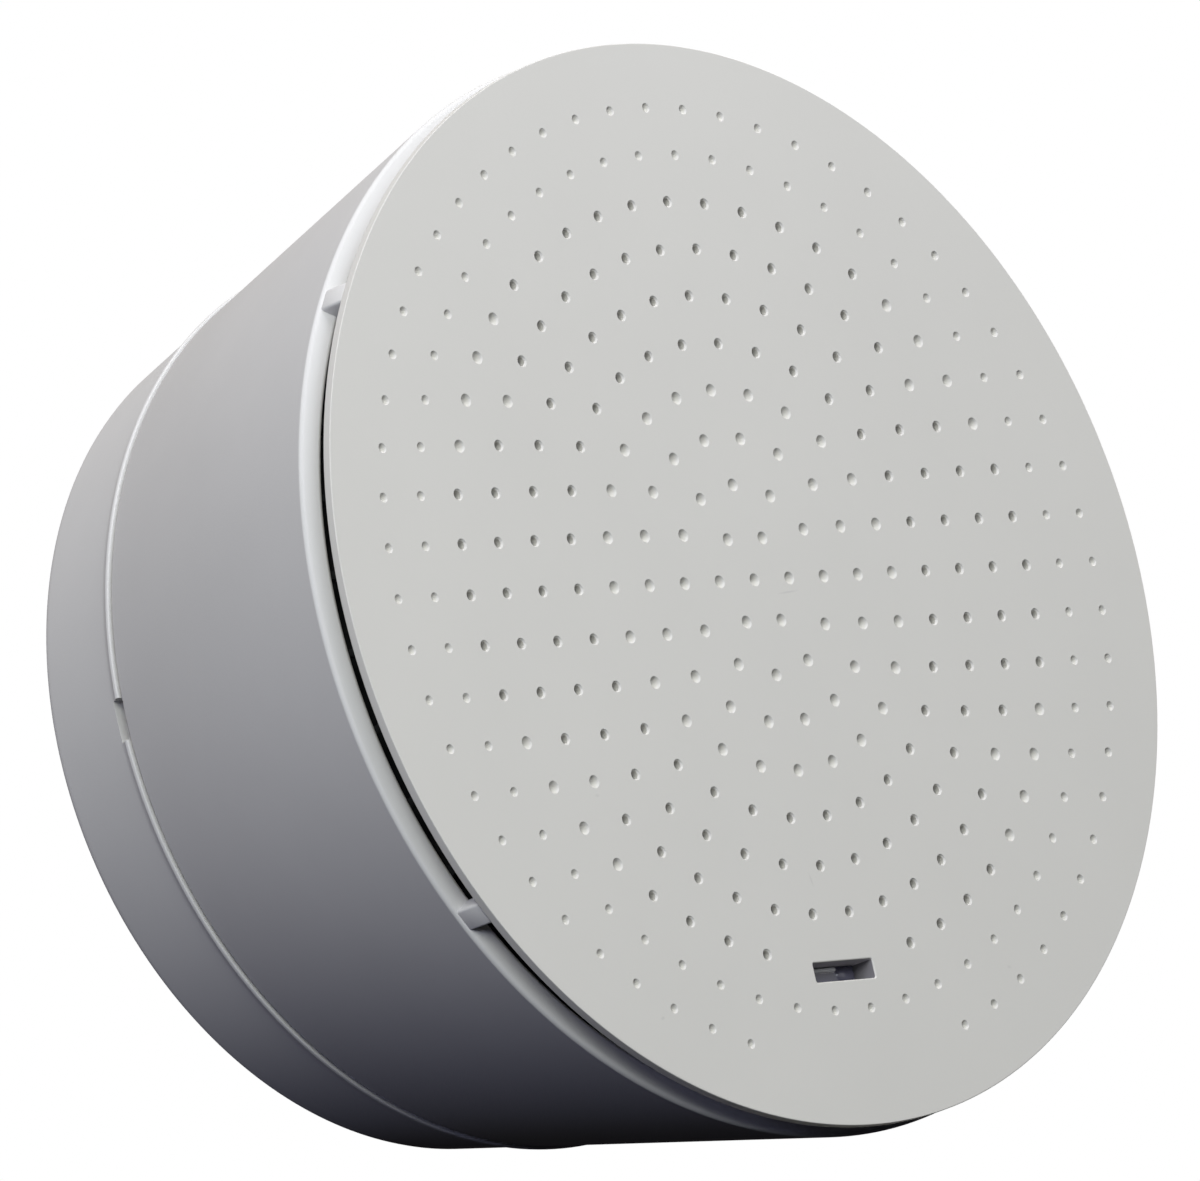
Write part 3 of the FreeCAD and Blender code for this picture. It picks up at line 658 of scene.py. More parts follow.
def face_skin():
    """Open strips of the rim and of the window, and loose places for the holes."""
    work = bmesh.new()
    edge_mark = work.verts.layers.float.new("edge_mark")
    layers = [work.verts.layers.float.new(label) for label in ("mouth", "bore", "deep", "through")]

    def strip(loops):
        rows = [[work.verts.new(place) for place in loop] for loop in loops]
        for near, far in zip(rows, rows[1:]):
            for number in range(len(near)):
                after = (number + 1) % len(near)
                work.faces.new((near[number], near[after], far[after], far[number]))
        for vertex in rows[0]:
            vertex[edge_mark] = 1
        for vertex in rows[-1]:
            vertex[edge_mark] = 4

    band_inner = face_radius - rim_band
    step = face_thickness - rim_thickness
    outline = softened([
        (band_inner, 0), (face_radius, 0), (face_radius, -rim_thickness),
        (band_inner + step, -rim_thickness), (band_inner, -face_thickness)],
        {1: rim_front_round, 2: rim_back_round}, 6)[1:]
    turns = [2 * math.pi * number / 256 for number in range(256)]
    strip([[(radius * math.cos(turn), radius * math.sin(turn), out) for turn in turns]
           for radius, out in outline])
    wide, high = window_width, window_height
    roll = window_roll
    thick = 2 * collar_wall
    strip([rounded_rectangle(wide + 2 * roll, high + 2 * roll, window_corner + roll, 0),
           rounded_rectangle(wide + roll / 2, high + roll / 2, window_corner, -roll / 3),
           rounded_rectangle(wide, high, window_corner, -roll),
           rounded_rectangle(wide, high, window_corner, -collar_back),
           rounded_rectangle(wide + thick, high + thick, window_corner + collar_wall, -collar_back),
           rounded_rectangle(wide + thick, high + thick, window_corner + collar_wall, -face_thickness)])
    for place, *sizes in face_hole_places():
        vertex = work.verts.new(place)
        for layer, size in zip(layers, sizes):
            vertex[layer] = size
    mesh = bpy.data.meshes.new("face_skin")
    work.to_mesh(mesh)
    work.free()
    return mesh


hole_tree = tree_with("perforated_disc", ["Hole sides", "Thickness"])
hole_in = hole_tree.nodes.new("NodeGroupInput").outputs


def named(label):
    """Socket that reads one of the places' own sizes."""
    reader = linked(hole_tree, "GeometryNodeInputNamedAttribute", {"Name": label}, data_type="FLOAT")
    return reader.outputs["Attribute"]


def sum_of(first, second, operation="ADD"):
    """Socket with the result of a sum on two numbers or sockets."""
    return linked(hole_tree, "ShaderNodeMath", {0: first, 1: second}, operation=operation).outputs[0]


def is_near(value, target):
    """Socket that is true where a value is a given number."""
    return linked(hole_tree, "FunctionNodeCompare", {"A": value, "B": target, "Epsilon": 0.01},
                  data_type="FLOAT", operation="EQUAL").outputs[0]


def downwards(depth):
    """Socket with a vector of that length, pointing into the plate."""
    return linked(hole_tree, "ShaderNodeCombineXYZ", {"Z": sum_of(depth, -1.0, "MULTIPLY")}).outputs[0]


places_part = linked(hole_tree, "GeometryNodeSeparateGeometry", {
    "Geometry": hole_in["Geometry"],
    "Selection": linked(hole_tree, "FunctionNodeCompare", {"A": named("mouth"), "B": 1e-6},
                        data_type="FLOAT", operation="GREATER_THAN").outputs[0]}, domain="POINT")
places = places_part.outputs["Selection"]
strips = places_part.outputs["Inverted"]
hole_disc = linked(hole_tree, "GeometryNodeMeshCircle", {
    "Vertices": hole_in["Hole sides"], "Radius": 1.0}, fill_type="NGON")
disc_copies = linked(hole_tree, "GeometryNodeInstanceOnPoints", {
    "Points": places, "Instance": hole_disc.outputs[0], "Scale": named("mouth")})
discs = linked(hole_tree, "GeometryNodeRealizeInstances", {
    "Geometry": disc_copies.outputs[0]}).outputs[0]
front_loops = linked(hole_tree, "GeometryNodeMeshToCurve", {
    "Mesh": strips, "Selection": is_near(named("edge_mark"), 1.0)}).outputs[0]
disc_loops = linked(hole_tree, "GeometryNodeMeshToCurve", {"Mesh": discs}).outputs[0]
front_curves = linked(hole_tree, "GeometryNodeJoinGeometry")
hole_tree.links.new(front_loops, front_curves.inputs[0])
hole_tree.links.new(disc_loops, front_curves.inputs[0])
front_fill = linked(hole_tree, "GeometryNodeFillCurve", {"Curve": front_curves.outputs[0]},
                    mode="TRIANGLES")

# Each dimple is pressed down in rings, from its mouth to its floor; the shares are of the
# way in from the mouth's radius to the bore's, and of the way down.
dimple_shares = ((0.06, 0.03), (0.15, 0.13), (0.50, 0.52), (0.85, 0.93), (1.0, 1.0))
sunk = discs
tops = None
reached_radius = named("mouth")
reached_share = 0.0
for inward_share, down_share in dimple_shares:
    depth_step = sum_of(named("deep"), down_share - reached_share, "MULTIPLY")
    press = linked(hole_tree, "GeometryNodeExtrudeMesh", {
        "Mesh": sunk, "Offset": downwards(depth_step), "Offset Scale": 1.0, "Individual": True},
        mode="FACES")
    if tops is not None:
        hole_tree.links.new(tops, press.inputs["Selection"])
    inward = sum_of(sum_of(named("mouth"), named("bore"), "SUBTRACT"), inward_share, "MULTIPLY")
    target_radius = sum_of(named("mouth"), inward, "SUBTRACT")
    shrink = linked(hole_tree, "GeometryNodeScaleElements", {
        "Geometry": press.outputs["Mesh"], "Selection": press.outputs["Top"],
        "Scale": sum_of(target_radius, reached_radius, "DIVIDE")}, domain="FACE")
    sunk = shrink.outputs[0]
    tops = press.outputs["Top"]
    reached_radius = target_radius
    reached_share = down_share

through_tops = linked(hole_tree, "FunctionNodeBooleanMath", {
    0: tops, 1: is_near(named("through"), 1.0)}, operation="AND").outputs[0]
bore_depth = sum_of(hole_in["Thickness"], named("deep"), "SUBTRACT")
bores = linked(hole_tree, "GeometryNodeExtrudeMesh", {
    "Mesh": sunk, "Selection": through_tops, "Offset": downwards(bore_depth), "Offset Scale": 1.0,
    "Individual": True}, mode="FACES")
bore_ends = linked(hole_tree, "GeometryNodeSeparateGeometry", {
    "Geometry": bores.outputs["Mesh"], "Selection": bores.outputs["Top"]}, domain="FACE")
back_loops = linked(hole_tree, "GeometryNodeMeshToCurve", {
    "Mesh": strips, "Selection": is_near(named("edge_mark"), 4.0)}).outputs[0]
bore_loops = linked(hole_tree, "GeometryNodeMeshToCurve", {
    "Mesh": bore_ends.outputs["Selection"]}).outputs[0]
back_curves = linked(hole_tree, "GeometryNodeJoinGeometry")
hole_tree.links.new(back_loops, back_curves.inputs[0])
hole_tree.links.new(bore_loops, back_curves.inputs[0])
back_fill = linked(hole_tree, "GeometryNodeFillCurve", {"Curve": back_curves.outputs[0]},
                   mode="TRIANGLES")
back_place = linked(hole_tree, "GeometryNodeTransform", {
    "Geometry": back_fill.outputs[0], "Translation": downwards(hole_in["Thickness"])})
disc_parts = linked(hole_tree, "GeometryNodeJoinGeometry")
for part in (strips, front_fill.outputs[0], bore_ends.outputs["Inverted"], back_place.outputs[0]):
    hole_tree.links.new(part, disc_parts.inputs[0])
disc_closed = linked(hole_tree, "GeometryNodeMergeByDistance", {
    "Geometry": disc_parts.outputs[0], "Distance": 0.000002})
disc_real = linked(hole_tree, "GeometryNodeRealizeInstances", {"Geometry": disc_closed.outputs[0]})
disc_finish = linked(hole_tree, "GeometryNodeSetMaterial", {
    "Geometry": disc_real.outputs[0], "Material": hole_in["Material"]})
linked(hole_tree, "NodeGroupOutput", {"Geometry": disc_finish.outputs[0]})


def outward(piece):
    """Turns all the faces of a closed piece outwards."""
    work = bmesh.new()
    work.from_mesh(piece.data)
    bmesh.ops.recalc_face_normals(work, faces=work.faces)
    work.to_mesh(piece.data)
    work.free()


def marked_by_use(material, marks):
    """Darkens a plastic by faint scuffs, each a soft ellipse on the face."""
    nodes, links = material.node_tree.nodes, material.node_tree.links
    skin = nodes["Principled BSDF"]
    colour = skin.inputs["Base Color"].links[0].from_socket
    where = nodes.new("ShaderNodeTexCoord").outputs["Object"]
    for aside, above, half_length, half_width, turn, strength in marks:
        local = nodes.new("ShaderNodeMapping")
        local.vector_type = "TEXTURE"
        local.inputs["Location"].default_value = (aside, -total_depth, above)
        local.inputs["Rotation"].default_value = (0, -math.radians(turn), 0)
        local.inputs["Scale"].default_value = (half_length, 0.001, half_width)
        links.new(where, local.inputs["Vector"])
        blot = nodes.new("ShaderNodeTexGradient")
        blot.gradient_type = "SPHERICAL"
        links.new(local.outputs["Vector"], blot.inputs["Vector"])
        share = spread(nodes, links, blot.outputs["Fac"], 0, strength, 0, 0.7)
        colour = mixed_colour(nodes, links, share, colour, scuff_colour)
    links.new(colour, skin.inputs["Base Color"])


face_plastic = moulded_plastic("face_plastic", face_plastic_colour, 0.60, 0.010, 0.25)
marked_by_use(face_plastic, scuffs)
face_plate = bpy.data.objects.new("face_disc", face_skin())
bpy.context.scene.collection.objects.link(face_plate)
grown(face_plate, hole_tree, {"Hole sides": float(hole_sides), "Thickness": face_thickness,
                              "Material": face_plastic})
for label in ("edge_mark", "mouth", "bore", "deep", "through"):
    face_plate.data.attributes.remove(face_plate.data.attributes[label])
outward(face_plate)
face_plate.data.transform(lay_over @ Matrix.Translation((0, 0, total_depth)))
dressed(face_plate, face_plastic, replaces="face_plate")
# The window's inner walls get a painted shade: a dark grey copy of the face's plastic, for the shade down
# in the window.
window_ink = moulded_plastic("window_ink", window_painted_shade_colour, 0.55, 0.05, 0.25)
face_plate.data.materials.append(window_ink)
# The window's ceiling gets a lighter grey copy of the same painted shade, still darker than the face.
window_ceiling = moulded_plastic("window_ceiling", window_ceiling_lighter_shade_colour, 0.55, 0.05, 0.25)
face_plate.data.materials.append(window_ceiling)
for facet in face_plate.data.polygons:
    if abs(facet.normal.y) > 0.9999:
        facet.use_smooth = False
    aside, above = abs(facet.center.x), abs(facet.center.z + window_radius)
    in_window = (aside < window_width / 2 + window_margin
                 and above < window_height / 2 + window_margin)
    if in_window and facet.center.y > window_shade_edge - total_depth:
        facet.material_index = 2 if facet.normal.z < -0.7 else 1

face_back_out = total_depth - face_thickness
feet = []
for clock in foot_clocks:
    ring = turned(softened([(foot_radius - foot_wall, deck_front_out), (foot_radius, deck_front_out),
                            (foot_radius, face_back_out), (foot_radius - foot_wall, face_back_out)],
                           {0: foot_end_round, 1: foot_end_round}), 64)
    boss = turned(softened([(foot_bore_radius, deck_front_out), (foot_boss_radius, deck_front_out),
                            (foot_boss_radius, face_back_out), (foot_bore_radius, face_back_out)],
                           {0: foot_end_round, 1: foot_end_round}), 40)
    feet.extend(moved(mesh, clock_place(clock, foot_radial)) for mesh in (ring, boss))
face_feet = joined("face_feet", feet)
dressed(face_feet, face_plastic)
# The outer sides of the feet, seen through the sound slot, carry the chamber's painted shade.
face_feet.data.materials.append(chamber_dark)
for facet in face_feet.data.polygons:
    if math.hypot(facet.center.x, facet.center.z) > foot_radial + foot_radius / 2:
        facet.material_index = 1

# Light guide
# A bar of smoked clear acrylic that stands on the lamp, passes through the deck on its shoulder and
# ends a little way behind the window, in a small dome beside a low rib to the left. The rib's pale
# colour is a painted highlight: a streak of reflected light painted onto the bar.
guide_gap = 0.00005
guide_back_out = 0.0263
guide_front_out = 0.0543
guide_end_drop = 0.0008
guide_end_reach = 0.0002
guide_shoulder = 0.0010
guide_shoulder_thickness = 0.0012
guide_shoulder_round = 0.0002
dome_middle = (0.00265, 0.00010)
dome_half = (0.00125, 0.00075)
dome_rise = 0.000288
rib_end = 0.00122
rib_middle_height = 0.00066
rib_half_width = 0.00024
rib_rise = 0.00029
flat_drop = 0.00030
# Size, softness and colour of the pale band on the rib, a painted highlight.
streak_paint_length = 0.008
streak_paint_depth = 0.0012
streak_paint_edge = 0.0001
streak_paint_side_edge = 0.00008
smoked_acrylic_colour = (0.085, 0.082, 0.115)
painted_streak_colour = (0.90, 0.90, 0.88)


def guide_end(aside, above):
    """How far the guide's front stands out at a place in the window."""
    out = guide_front_out - flat_drop
    reach = ((aside - dome_middle[0]) / dome_half[0]) ** 2 + ((above - dome_middle[1]) / dome_half[1]) ** 2
    if reach < 1:
        out += dome_rise * math.sqrt(1 - reach)
    past_end = max(0.0, aside - rib_end) / rib_half_width
    across = (above - rib_middle_height) / rib_half_width
    if past_end ** 2 + across ** 2 < 1:
        out += rib_rise * math.sqrt(1 - past_end ** 2 - across ** 2)
    from_right = (guide_width / 2 - aside) / guide_end_reach
    if from_right < 1:
        out -= guide_end_drop * (1 - from_right) ** 2
    return min(out, guide_front_out)


def guide_bar(width, height, back_out, columns=84, rows=22):
    """Closed bar centred on the window, whose front follows guide_end."""
    work = bmesh.new()
    grid = []
    for column in range(columns + 1):
        aside = width * (column / columns - 0.5)
        line = []
        for row in range(rows + 1):
            above = height * (row / rows - 0.5)
            line.append(work.verts.new((aside, above - window_radius, guide_end(aside, above))))
        grid.append(line)
    for near, far in zip(grid, grid[1:]):
        for row in range(rows):
            work.faces.new((near[row], far[row], far[row + 1], near[row + 1]))
    border = [line[0] for line in grid] + grid[-1][1:] + [line[-1] for line in reversed(grid[:-1])]
    border += list(reversed(grid[0][1:-1]))
    foot = [work.verts.new((corner.co.x, corner.co.y, back_out)) for corner in border]
    for number in range(len(border)):
        after = (number + 1) % len(border)
        work.faces.new((border[number], foot[number], foot[after], border[after]))
    work.faces.new(foot)
    bmesh.ops.recalc_face_normals(work, faces=work.faces)
    mesh = bpy.data.meshes.new("guide_bar")
    work.to_mesh(mesh)
    work.free()
    return mesh


def smoked_clear(name, colour):
    """Polished smoked acrylic with faint flow lines, and a painted highlight streak on the rib."""
    made = bpy.data.materials.new(name)
    made.use_nodes = True
    nodes, links = made.node_tree.nodes, made.node_tree.links
    skin = nodes["Principled BSDF"]
    skin.inputs["IOR"].default_value = 1.49
    flow = noise_value(nodes, links, 260, 3, 0.5, stretch=(0.3, 1, 1))
    share = spread(nodes, links, flow, 0, 1)
    darker = tuple(part * 0.7 for part in colour)
    smoke = mixed_colour(nodes, links, share, darker, tuple(part * 1.5 for part in colour))
    where = nodes.new("ShaderNodeTexCoord").outputs["Object"]
    split = nodes.new("ShaderNodeSeparateXYZ")
    links.new(where, split.inputs[0])
    # Where the rib stands the colour turns pale: a painted highlight for a streak of reflected light.
    inside = []
    for axis, middle, half, soft in (
            ("X", rib_end - streak_paint_length / 2, streak_paint_length / 2, streak_paint_edge),
            ("Y", -guide_front_out, streak_paint_depth / 2, streak_paint_edge),
            ("Z", rib_middle_height - window_radius, rib_half_width, streak_paint_side_edge)):
        offset = nodes.new("ShaderNodeMath")
        offset.operation = "SUBTRACT"
        links.new(split.outputs[axis], offset.inputs[0])
        offset.inputs[1].default_value = middle
        apart = nodes.new("ShaderNodeMath")
        apart.operation = "ABSOLUTE"
        links.new(offset.outputs[0], apart.inputs[0])
        inside.append(spread(nodes, links, apart.outputs[0], 1, 0, half - soft, half + soft))
    streak_share = inside[0]
    for other in inside[1:]:
        both = nodes.new("ShaderNodeMath")
        both.operation = "MULTIPLY"
        links.new(streak_share, both.inputs[0])
        links.new(other, both.inputs[1])
        streak_share = both.outputs[0]
    links.new(mixed_colour(nodes, links, streak_share, smoke, painted_streak_colour), skin.inputs["Base Color"])
    links.new(spread(nodes, links, flow, 0.07, 0.16), skin.inputs["Roughness"])
    links.new(raised(nodes, links, flow, 0.25, 0.00004), skin.inputs["Normal"])
    return made


smoked_acrylic = smoked_clear("smoked_acrylic", smoked_acrylic_colour)
guide_width = window_width - 2 * guide_gap
guide_height = window_height - 2 * guide_gap
shoulder = boxed((-guide_width / 2 - guide_shoulder, -window_radius - guide_height / 2 - guide_shoulder,
                  deck_out - guide_shoulder_thickness),
                 (guide_width / 2 + guide_shoulder, -window_radius + guide_height / 2 + guide_shoulder,
                  deck_out), guide_shoulder_round)
light_guide = joined("light_guide_bar", [guide_bar(guide_width, guide_height, guide_back_out), shoulder])
dressed(light_guide, smoked_acrylic, replaces="light_guide")

# Screws
# Zinc-plated pan-head screws with a cross recess: four hold the feet of the face to the
# deck, four the board to its pillars and three the sounder's flange. All are driven from
# the back.
screw_radius = 0.00145
screw_core_radius = 0.00112
screw_pitch = 0.0011
screw_ridge_share = 0.32
screw_head_radius = 0.0027
screw_head_height = 0.0019
screw_head_round = 0.0009
screw_seat_round = 0.00015
screw_recess_half = 0.0018
screw_recess_width = 0.0008
screw_recess_depth = 0.0009
face_screw_length = 0.0075
board_screw_length = 0.0100
sounder_screw_length = 0.0060
board_out = 0.0226
flange_back_out = 0.0430
zinc_colour = (0.62, 0.63, 0.64)


def plated_metal(name, colour, roughness=0.30, scale=900, stretch=None, relief=0.15):
    """Plated or rolled metal: cloudy polish and fine drawn marks."""
    made = bpy.data.materials.new(name)
    made.use_nodes = True
    nodes, links = made.node_tree.nodes, made.node_tree.links
    skin = nodes["Principled BSDF"]
    skin.inputs["Metallic"].default_value = 1.0
    cloud = noise_value(nodes, links, 240, 3)
    share = spread(nodes, links, cloud, 0, 1)
    dull = tuple(part * 0.86 for part in colour)
    links.new(mixed_colour(nodes, links, share, dull, colour), skin.inputs["Base Color"])
    links.new(spread(nodes, links, cloud, roughness + 0.08, roughness - 0.05), skin.inputs["Roughness"])
    marks = noise_value(nodes, links, scale, 3, 0.6, stretch)
    links.new(raised(nodes, links, marks, relief, 0.00003), skin.inputs["Normal"])
    return made


def threaded_rod(length, around=18, rows_per_turn=6):
    """Closed rod with a helical thread that runs out at both ends, standing on its seat."""
    work = bmesh.new()
    row_count = int(length / screw_pitch * rows_per_turn)
    rows = []
    for row in range(row_count + 1):
        out = length * row / row_count
        fade = min(1.0, out / screw_pitch, (length - out) / screw_pitch)
        ring = []
        for number in range(around):
            angle = 2 * math.pi * number / around
            phase = (out / screw_pitch - number / around) % 1.0
            ridge = max(0.0, 1 - abs(phase - 0.5) / screw_ridge_share)
            radius = screw_core_radius + (screw_radius - screw_core_radius) * ridge * fade
            ring.append(work.verts.new((radius * math.cos(angle), radius * math.sin(angle), out)))
        rows.append(ring)
    for near, far in zip(rows, rows[1:]):
        for number in range(around):
            after = (number + 1) % around
            work.faces.new((near[number], near[after], far[after], far[number]))
    work.faces.new(list(reversed(rows[0])))
    work.faces.new(rows[-1])
    mesh = bpy.data.meshes.new("threaded_rod")
    work.to_mesh(mesh)
    work.free()
    return mesh


spot_tree = tree_with("blocks_on_places", [], ["Block"])
spot_in = spot_tree.nodes.new("NodeGroupInput").outputs
spot_source = linked(spot_tree, "GeometryNodeObjectInfo", {"Object": spot_in["Block"]})
spot_copies = linked(spot_tree, "GeometryNodeInstanceOnPoints", {
    "Points": spot_in["Geometry"], "Instance": spot_source.outputs["Geometry"]})
spot_real = linked(spot_tree, "GeometryNodeRealizeInstances", {"Geometry": spot_copies.outputs[0]})
spot_finish = linked(spot_tree, "GeometryNodeSetMaterial", {
    "Geometry": spot_real.outputs[0], "Material": spot_in["Material"]})
linked(spot_tree, "NodeGroupOutput", {"Geometry": spot_finish.outputs[0]})


def set_at(name, block, places, material):
    """Copies of a block, drawn at the origin, at each of the upright places."""
    work = bmesh.new()
    for place in places:
        work.verts.new(lay_over @ Vector(place))
    spots = bpy.data.meshes.new(name)
    work.to_mesh(spots)
    work.free()
    piece = bpy.data.objects.new(name, spots)
    bpy.context.scene.collection.objects.link(piece)
    grown(piece, spot_tree, {"Block": block, "Material": material})
    bpy.data.objects.remove(block, do_unlink=True)
    return piece


def screw_block(length):
    """One screw, head to the back, with its seat at the origin."""
    head = turned(softened([(0, -screw_head_height), (screw_head_radius, -screw_head_height),
                            (screw_head_radius, 0), (0, 0)],
                           {1: screw_head_round, 2: screw_seat_round}), 36)
    block = joined("screw_block", [head])
    long_half, slim_half = screw_recess_half, screw_recess_width / 2
    for wide, tall in ((long_half, slim_half), (slim_half, long_half)):
        cut_out(block, [boxed((-wide, -tall, -screw_head_height - cut_margin),
                              (wide, tall, -screw_head_height + screw_recess_depth))])
    work = bmesh.new()
    work.from_mesh(block.data)
    rod = threaded_rod(length)
    rod.transform(lay_over)
    work.from_mesh(rod)
    work.to_mesh(block.data)
    work.free()
    return block


screw_zinc = plated_metal("screw_zinc", zinc_colour, 0.32)
for label, node, length, seat_out, clocks, radial in (
        ("face_screw_set", "face_screws", face_screw_length, deck_out, foot_clocks, foot_radial),
        ("board_screw_set", "board_screws", board_screw_length, board_out, pillar_clocks, pillar_radial),
        ("sounder_screw_set", "sounder_screws", sounder_screw_length, flange_back_out,
         sounder_screw_clocks, sounder_screw_ring)):
    places = [clock_place(clock, radial, seat_out) for clock in clocks]
    screws = set_at(label, screw_block(length), places, screw_zinc)
    dressed(screws, screw_zinc, replaces=node)

# Circuit board
# A round glass-fibre board under green solder mask, screwed to the housing's pillars.
# Its traces show through the mask; small chip parts sit round the controller, and the
# leads that pass through it end in solder cones on its back.
mask_colour = (0.012, 0.115, 0.045)
trace_colour = (0.030, 0.215, 0.085)
solder_colour = (0.66, 0.66, 0.65)
resin_colour = (0.022, 0.022, 0.024)
chip_part_columns = (-0.0150, -0.0118, 0.0118, 0.0150)
chip_part_rows = 7
chip_part_step = 0.0024
chip_part_half = (0.0008, 0.0005)
chip_part_height = 0.00055
chip_part_round = 0.00006
chip_end_middle = 0.00095
chip_end_half = (0.0002, 0.00052)
chip_end_height = 0.00057
solder_foot_radius = 0.0009
solder_neck_radius = 0.0004
solder_neck_height = 0.0006
solder_tip_radius = 0.0003
solder_height = 0.0009
solder_neck_round = 0.0003
capacitor_lead = 0.0025
transformer_pin = 0.0045
connector_pin = 0.00125


def solder_mask(name):
    """Green mask over a board whose copper traces run two ways in patches."""
    made = bpy.data.materials.new(name)
    made.use_nodes = True
    nodes, links = made.node_tree.nodes, made.node_tree.links
    skin = nodes["Principled BSDF"]
    where = nodes.new("ShaderNodeTexCoord").outputs["Object"]
    lines = []
    for direction in ("X", "Z"):
        bands = nodes.new("ShaderNodeTexWave")
        bands.bands_direction = direction
        bands.wave_profile = "TRI"
        bands.inputs["Scale"].default_value = 130
        bands.inputs["Distortion"].default_value = 0
        links.new(where, bands.inputs["Vector"])
        lines.append(spread(nodes, links, bands.outputs["Fac"], 0, 1, 0.62, 0.70))
    patches = nodes.new("ShaderNodeTexVoronoi")
    patches.distance = "CHEBYCHEV"
    patches.inputs["Scale"].default_value = 120
    links.new(where, patches.inputs["Vector"])
    parts = nodes.new("ShaderNodeSeparateColor")
    links.new(patches.outputs["Color"], parts.inputs[0])
    choice = spread(nodes, links, parts.outputs[0], 0, 1, 0.49, 0.51)
    either = nodes.new("ShaderNodeMix")
    links.new(choice, either.inputs["Factor"])
    links.new(lines[0], either.inputs["A"])
    links.new(lines[1], either.inputs["B"])
    used = spread(nodes, links, parts.outputs[1], 0, 1, 0.34, 0.36)
    copper = nodes.new("ShaderNodeMath")
    copper.operation = "MULTIPLY"
    links.new(either.outputs["Result"], copper.inputs[0])
    links.new(used, copper.inputs[1])
    links.new(mixed_colour(nodes, links, copper.outputs[0], mask_colour, trace_colour),
              skin.inputs["Base Color"])
    cloud = noise_value(nodes, links, 300, 3)
    links.new(spread(nodes, links, cloud, 0.34, 0.24), skin.inputs["Roughness"])
    links.new(raised(nodes, links, copper.outputs[0], 0.5, 0.00004), skin.inputs["Normal"])
    return made


def upright_box(node):
    """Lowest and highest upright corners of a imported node."""
    low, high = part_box(node)
    return Vector((low[0], low[2], -high[1])), Vector((high[0], high[2], -low[1]))


def finished(nodes, material):
    """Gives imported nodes, whose shapes are right, their material."""
    for node in nodes:
        piece = frame["nodes"][node]
        for place in piece.material_slots:
            place.material = material


board_green = solder_mask("board_green")
finished(("main_board", "radio_board"), board_green)
tinned = plated_metal("tinned", solder_colour, 0.28, 700)
part_resin = moulded_plastic("part_resin", resin_colour, 0.42, 0.25, 0.3, 0.4)
part_places = [(column, (row - (chip_part_rows - 1) / 2) * chip_part_step, board_front_out)
               for column in chip_part_columns for row in range(chip_part_rows)]
part_body = joined("part_body", [
    boxed((-chip_part_half[0], -chip_part_half[1], 0), (*chip_part_half, chip_part_height),
          chip_part_round)])
dressed(set_at("chip_part_bodies", part_body, part_places, part_resin), part_resin)
part_ends = joined("part_ends", [
    boxed((side * chip_end_middle - chip_end_half[0], -chip_end_half[1], 0),
          (side * chip_end_middle + chip_end_half[0], chip_end_half[1], chip_end_height),
          chip_part_round) for side in (-1, 1)])
dressed(set_at("chip_part_ends", part_ends, part_places, tinned), tinned)
cone_outline = [(0, 0), (solder_foot_radius, 0), (solder_neck_radius, -solder_neck_height),
                (solder_tip_radius, -solder_height), (0, -solder_height)]
cone = turned(softened(cone_outline, {2: solder_neck_round}), 16)
joints = []
for node, spread_x, spread_y in (
        ("capacitor_large", capacitor_lead, 0), ("capacitor_small", capacitor_lead, 0),
        ("drive_transformer", transformer_pin, transformer_pin), ("sounder_connector", 0, connector_pin)):
    low, high = upright_box(node)
    middle = (low + high) / 2
    for x in {-spread_x, spread_x}:
        for y in {-spread_y, spread_y}:
            joints.append((middle.x + x, middle.y + y, board_out))
dressed(set_at("solder_cones", joined("solder_cone", [cone]), joints, tinned), tinned)

# Controller
# A flat square chip in black resin with a row of tinned legs on each side, soldered to
# the middle of the board.
leg_count = 11
leg_step = 0.0008
leg_half_width = 0.00015
leg_thickness = 0.0001
leg_root = 0.0002
leg_bend = 0.00024
leg_out = 0.0004
leg_reach = 0.0010
leg_height = 0.0006
leg_top = 0.00078
chip_stand_off = 0.0001
chip_round = 0.00012


def leg_row(edge):
    """One side's row of bent legs, drawn at the top."""
    meshes = []
    for number in range(leg_count):
        x = (number - (leg_count - 1) / 2) * leg_step
        left, right = x - leg_half_width, x + leg_half_width
        meshes.append(boxed((left, edge - leg_root, board_front_out + leg_height),
                            (right, edge + leg_out, board_front_out + leg_top)))
        meshes.append(boxed((left, edge + leg_bend, board_front_out + leg_thickness),
                            (right, edge + leg_out, board_front_out + leg_height)))
        meshes.append(boxed((left, edge + leg_bend, board_front_out),
                            (right, edge + leg_reach, board_front_out + leg_thickness)))
    return meshes


low, high = upright_box("microcontroller")
half = high.x - leg_out
chip = boxed((-half, -half, board_front_out + chip_stand_off), (half, half, high.z), chip_round)
dressed(joined("chip_body", [chip]), part_resin, replaces="microcontroller")
dressed(ring_of("chip_legs", leg_row(half), 4, 0, tinned), tinned)

# Radio
# A tin can soldered over the radio's circuit on its own small board, and a grey-sleeved
# wire that rises from the main board and runs round inside the housing as its antenna.
can_edge = 0.0003
can_hole_radius = 0.0006
can_hole_depth = 0.0002
can_hole_inset = 0.0025
can_hole_columns = 4
can_hole_rows = 2
can_hole_step = (0.0028, 0.0038)
antenna_colour = (0.10, 0.10, 0.11)
low, high = upright_box("radio_shield")
can = joined("radio_can", [boxed(low, high, can_edge, 3)])
vents = []
for column in range(can_hole_columns):
    for row in range(can_hole_rows):
        vent = turned([(0, high.z - can_hole_depth), (can_hole_radius, high.z - can_hole_depth),
                       (can_hole_radius, high.z + cut_margin), (0, high.z + cut_margin)], 20)
        vents.append(moved(vent, (low.x + can_hole_inset + column * can_hole_step[0],
                                  low.y + can_hole_inset + row * can_hole_step[1], 0)))
cut_out(can, vents)
dressed(can, tinned, replaces="radio_shield")
antenna_sleeve = moulded_plastic("antenna_sleeve", antenna_colour, 0.45, 0.08, 0.2, 0.35)
finished(("antenna_wire",), antenna_sleeve)

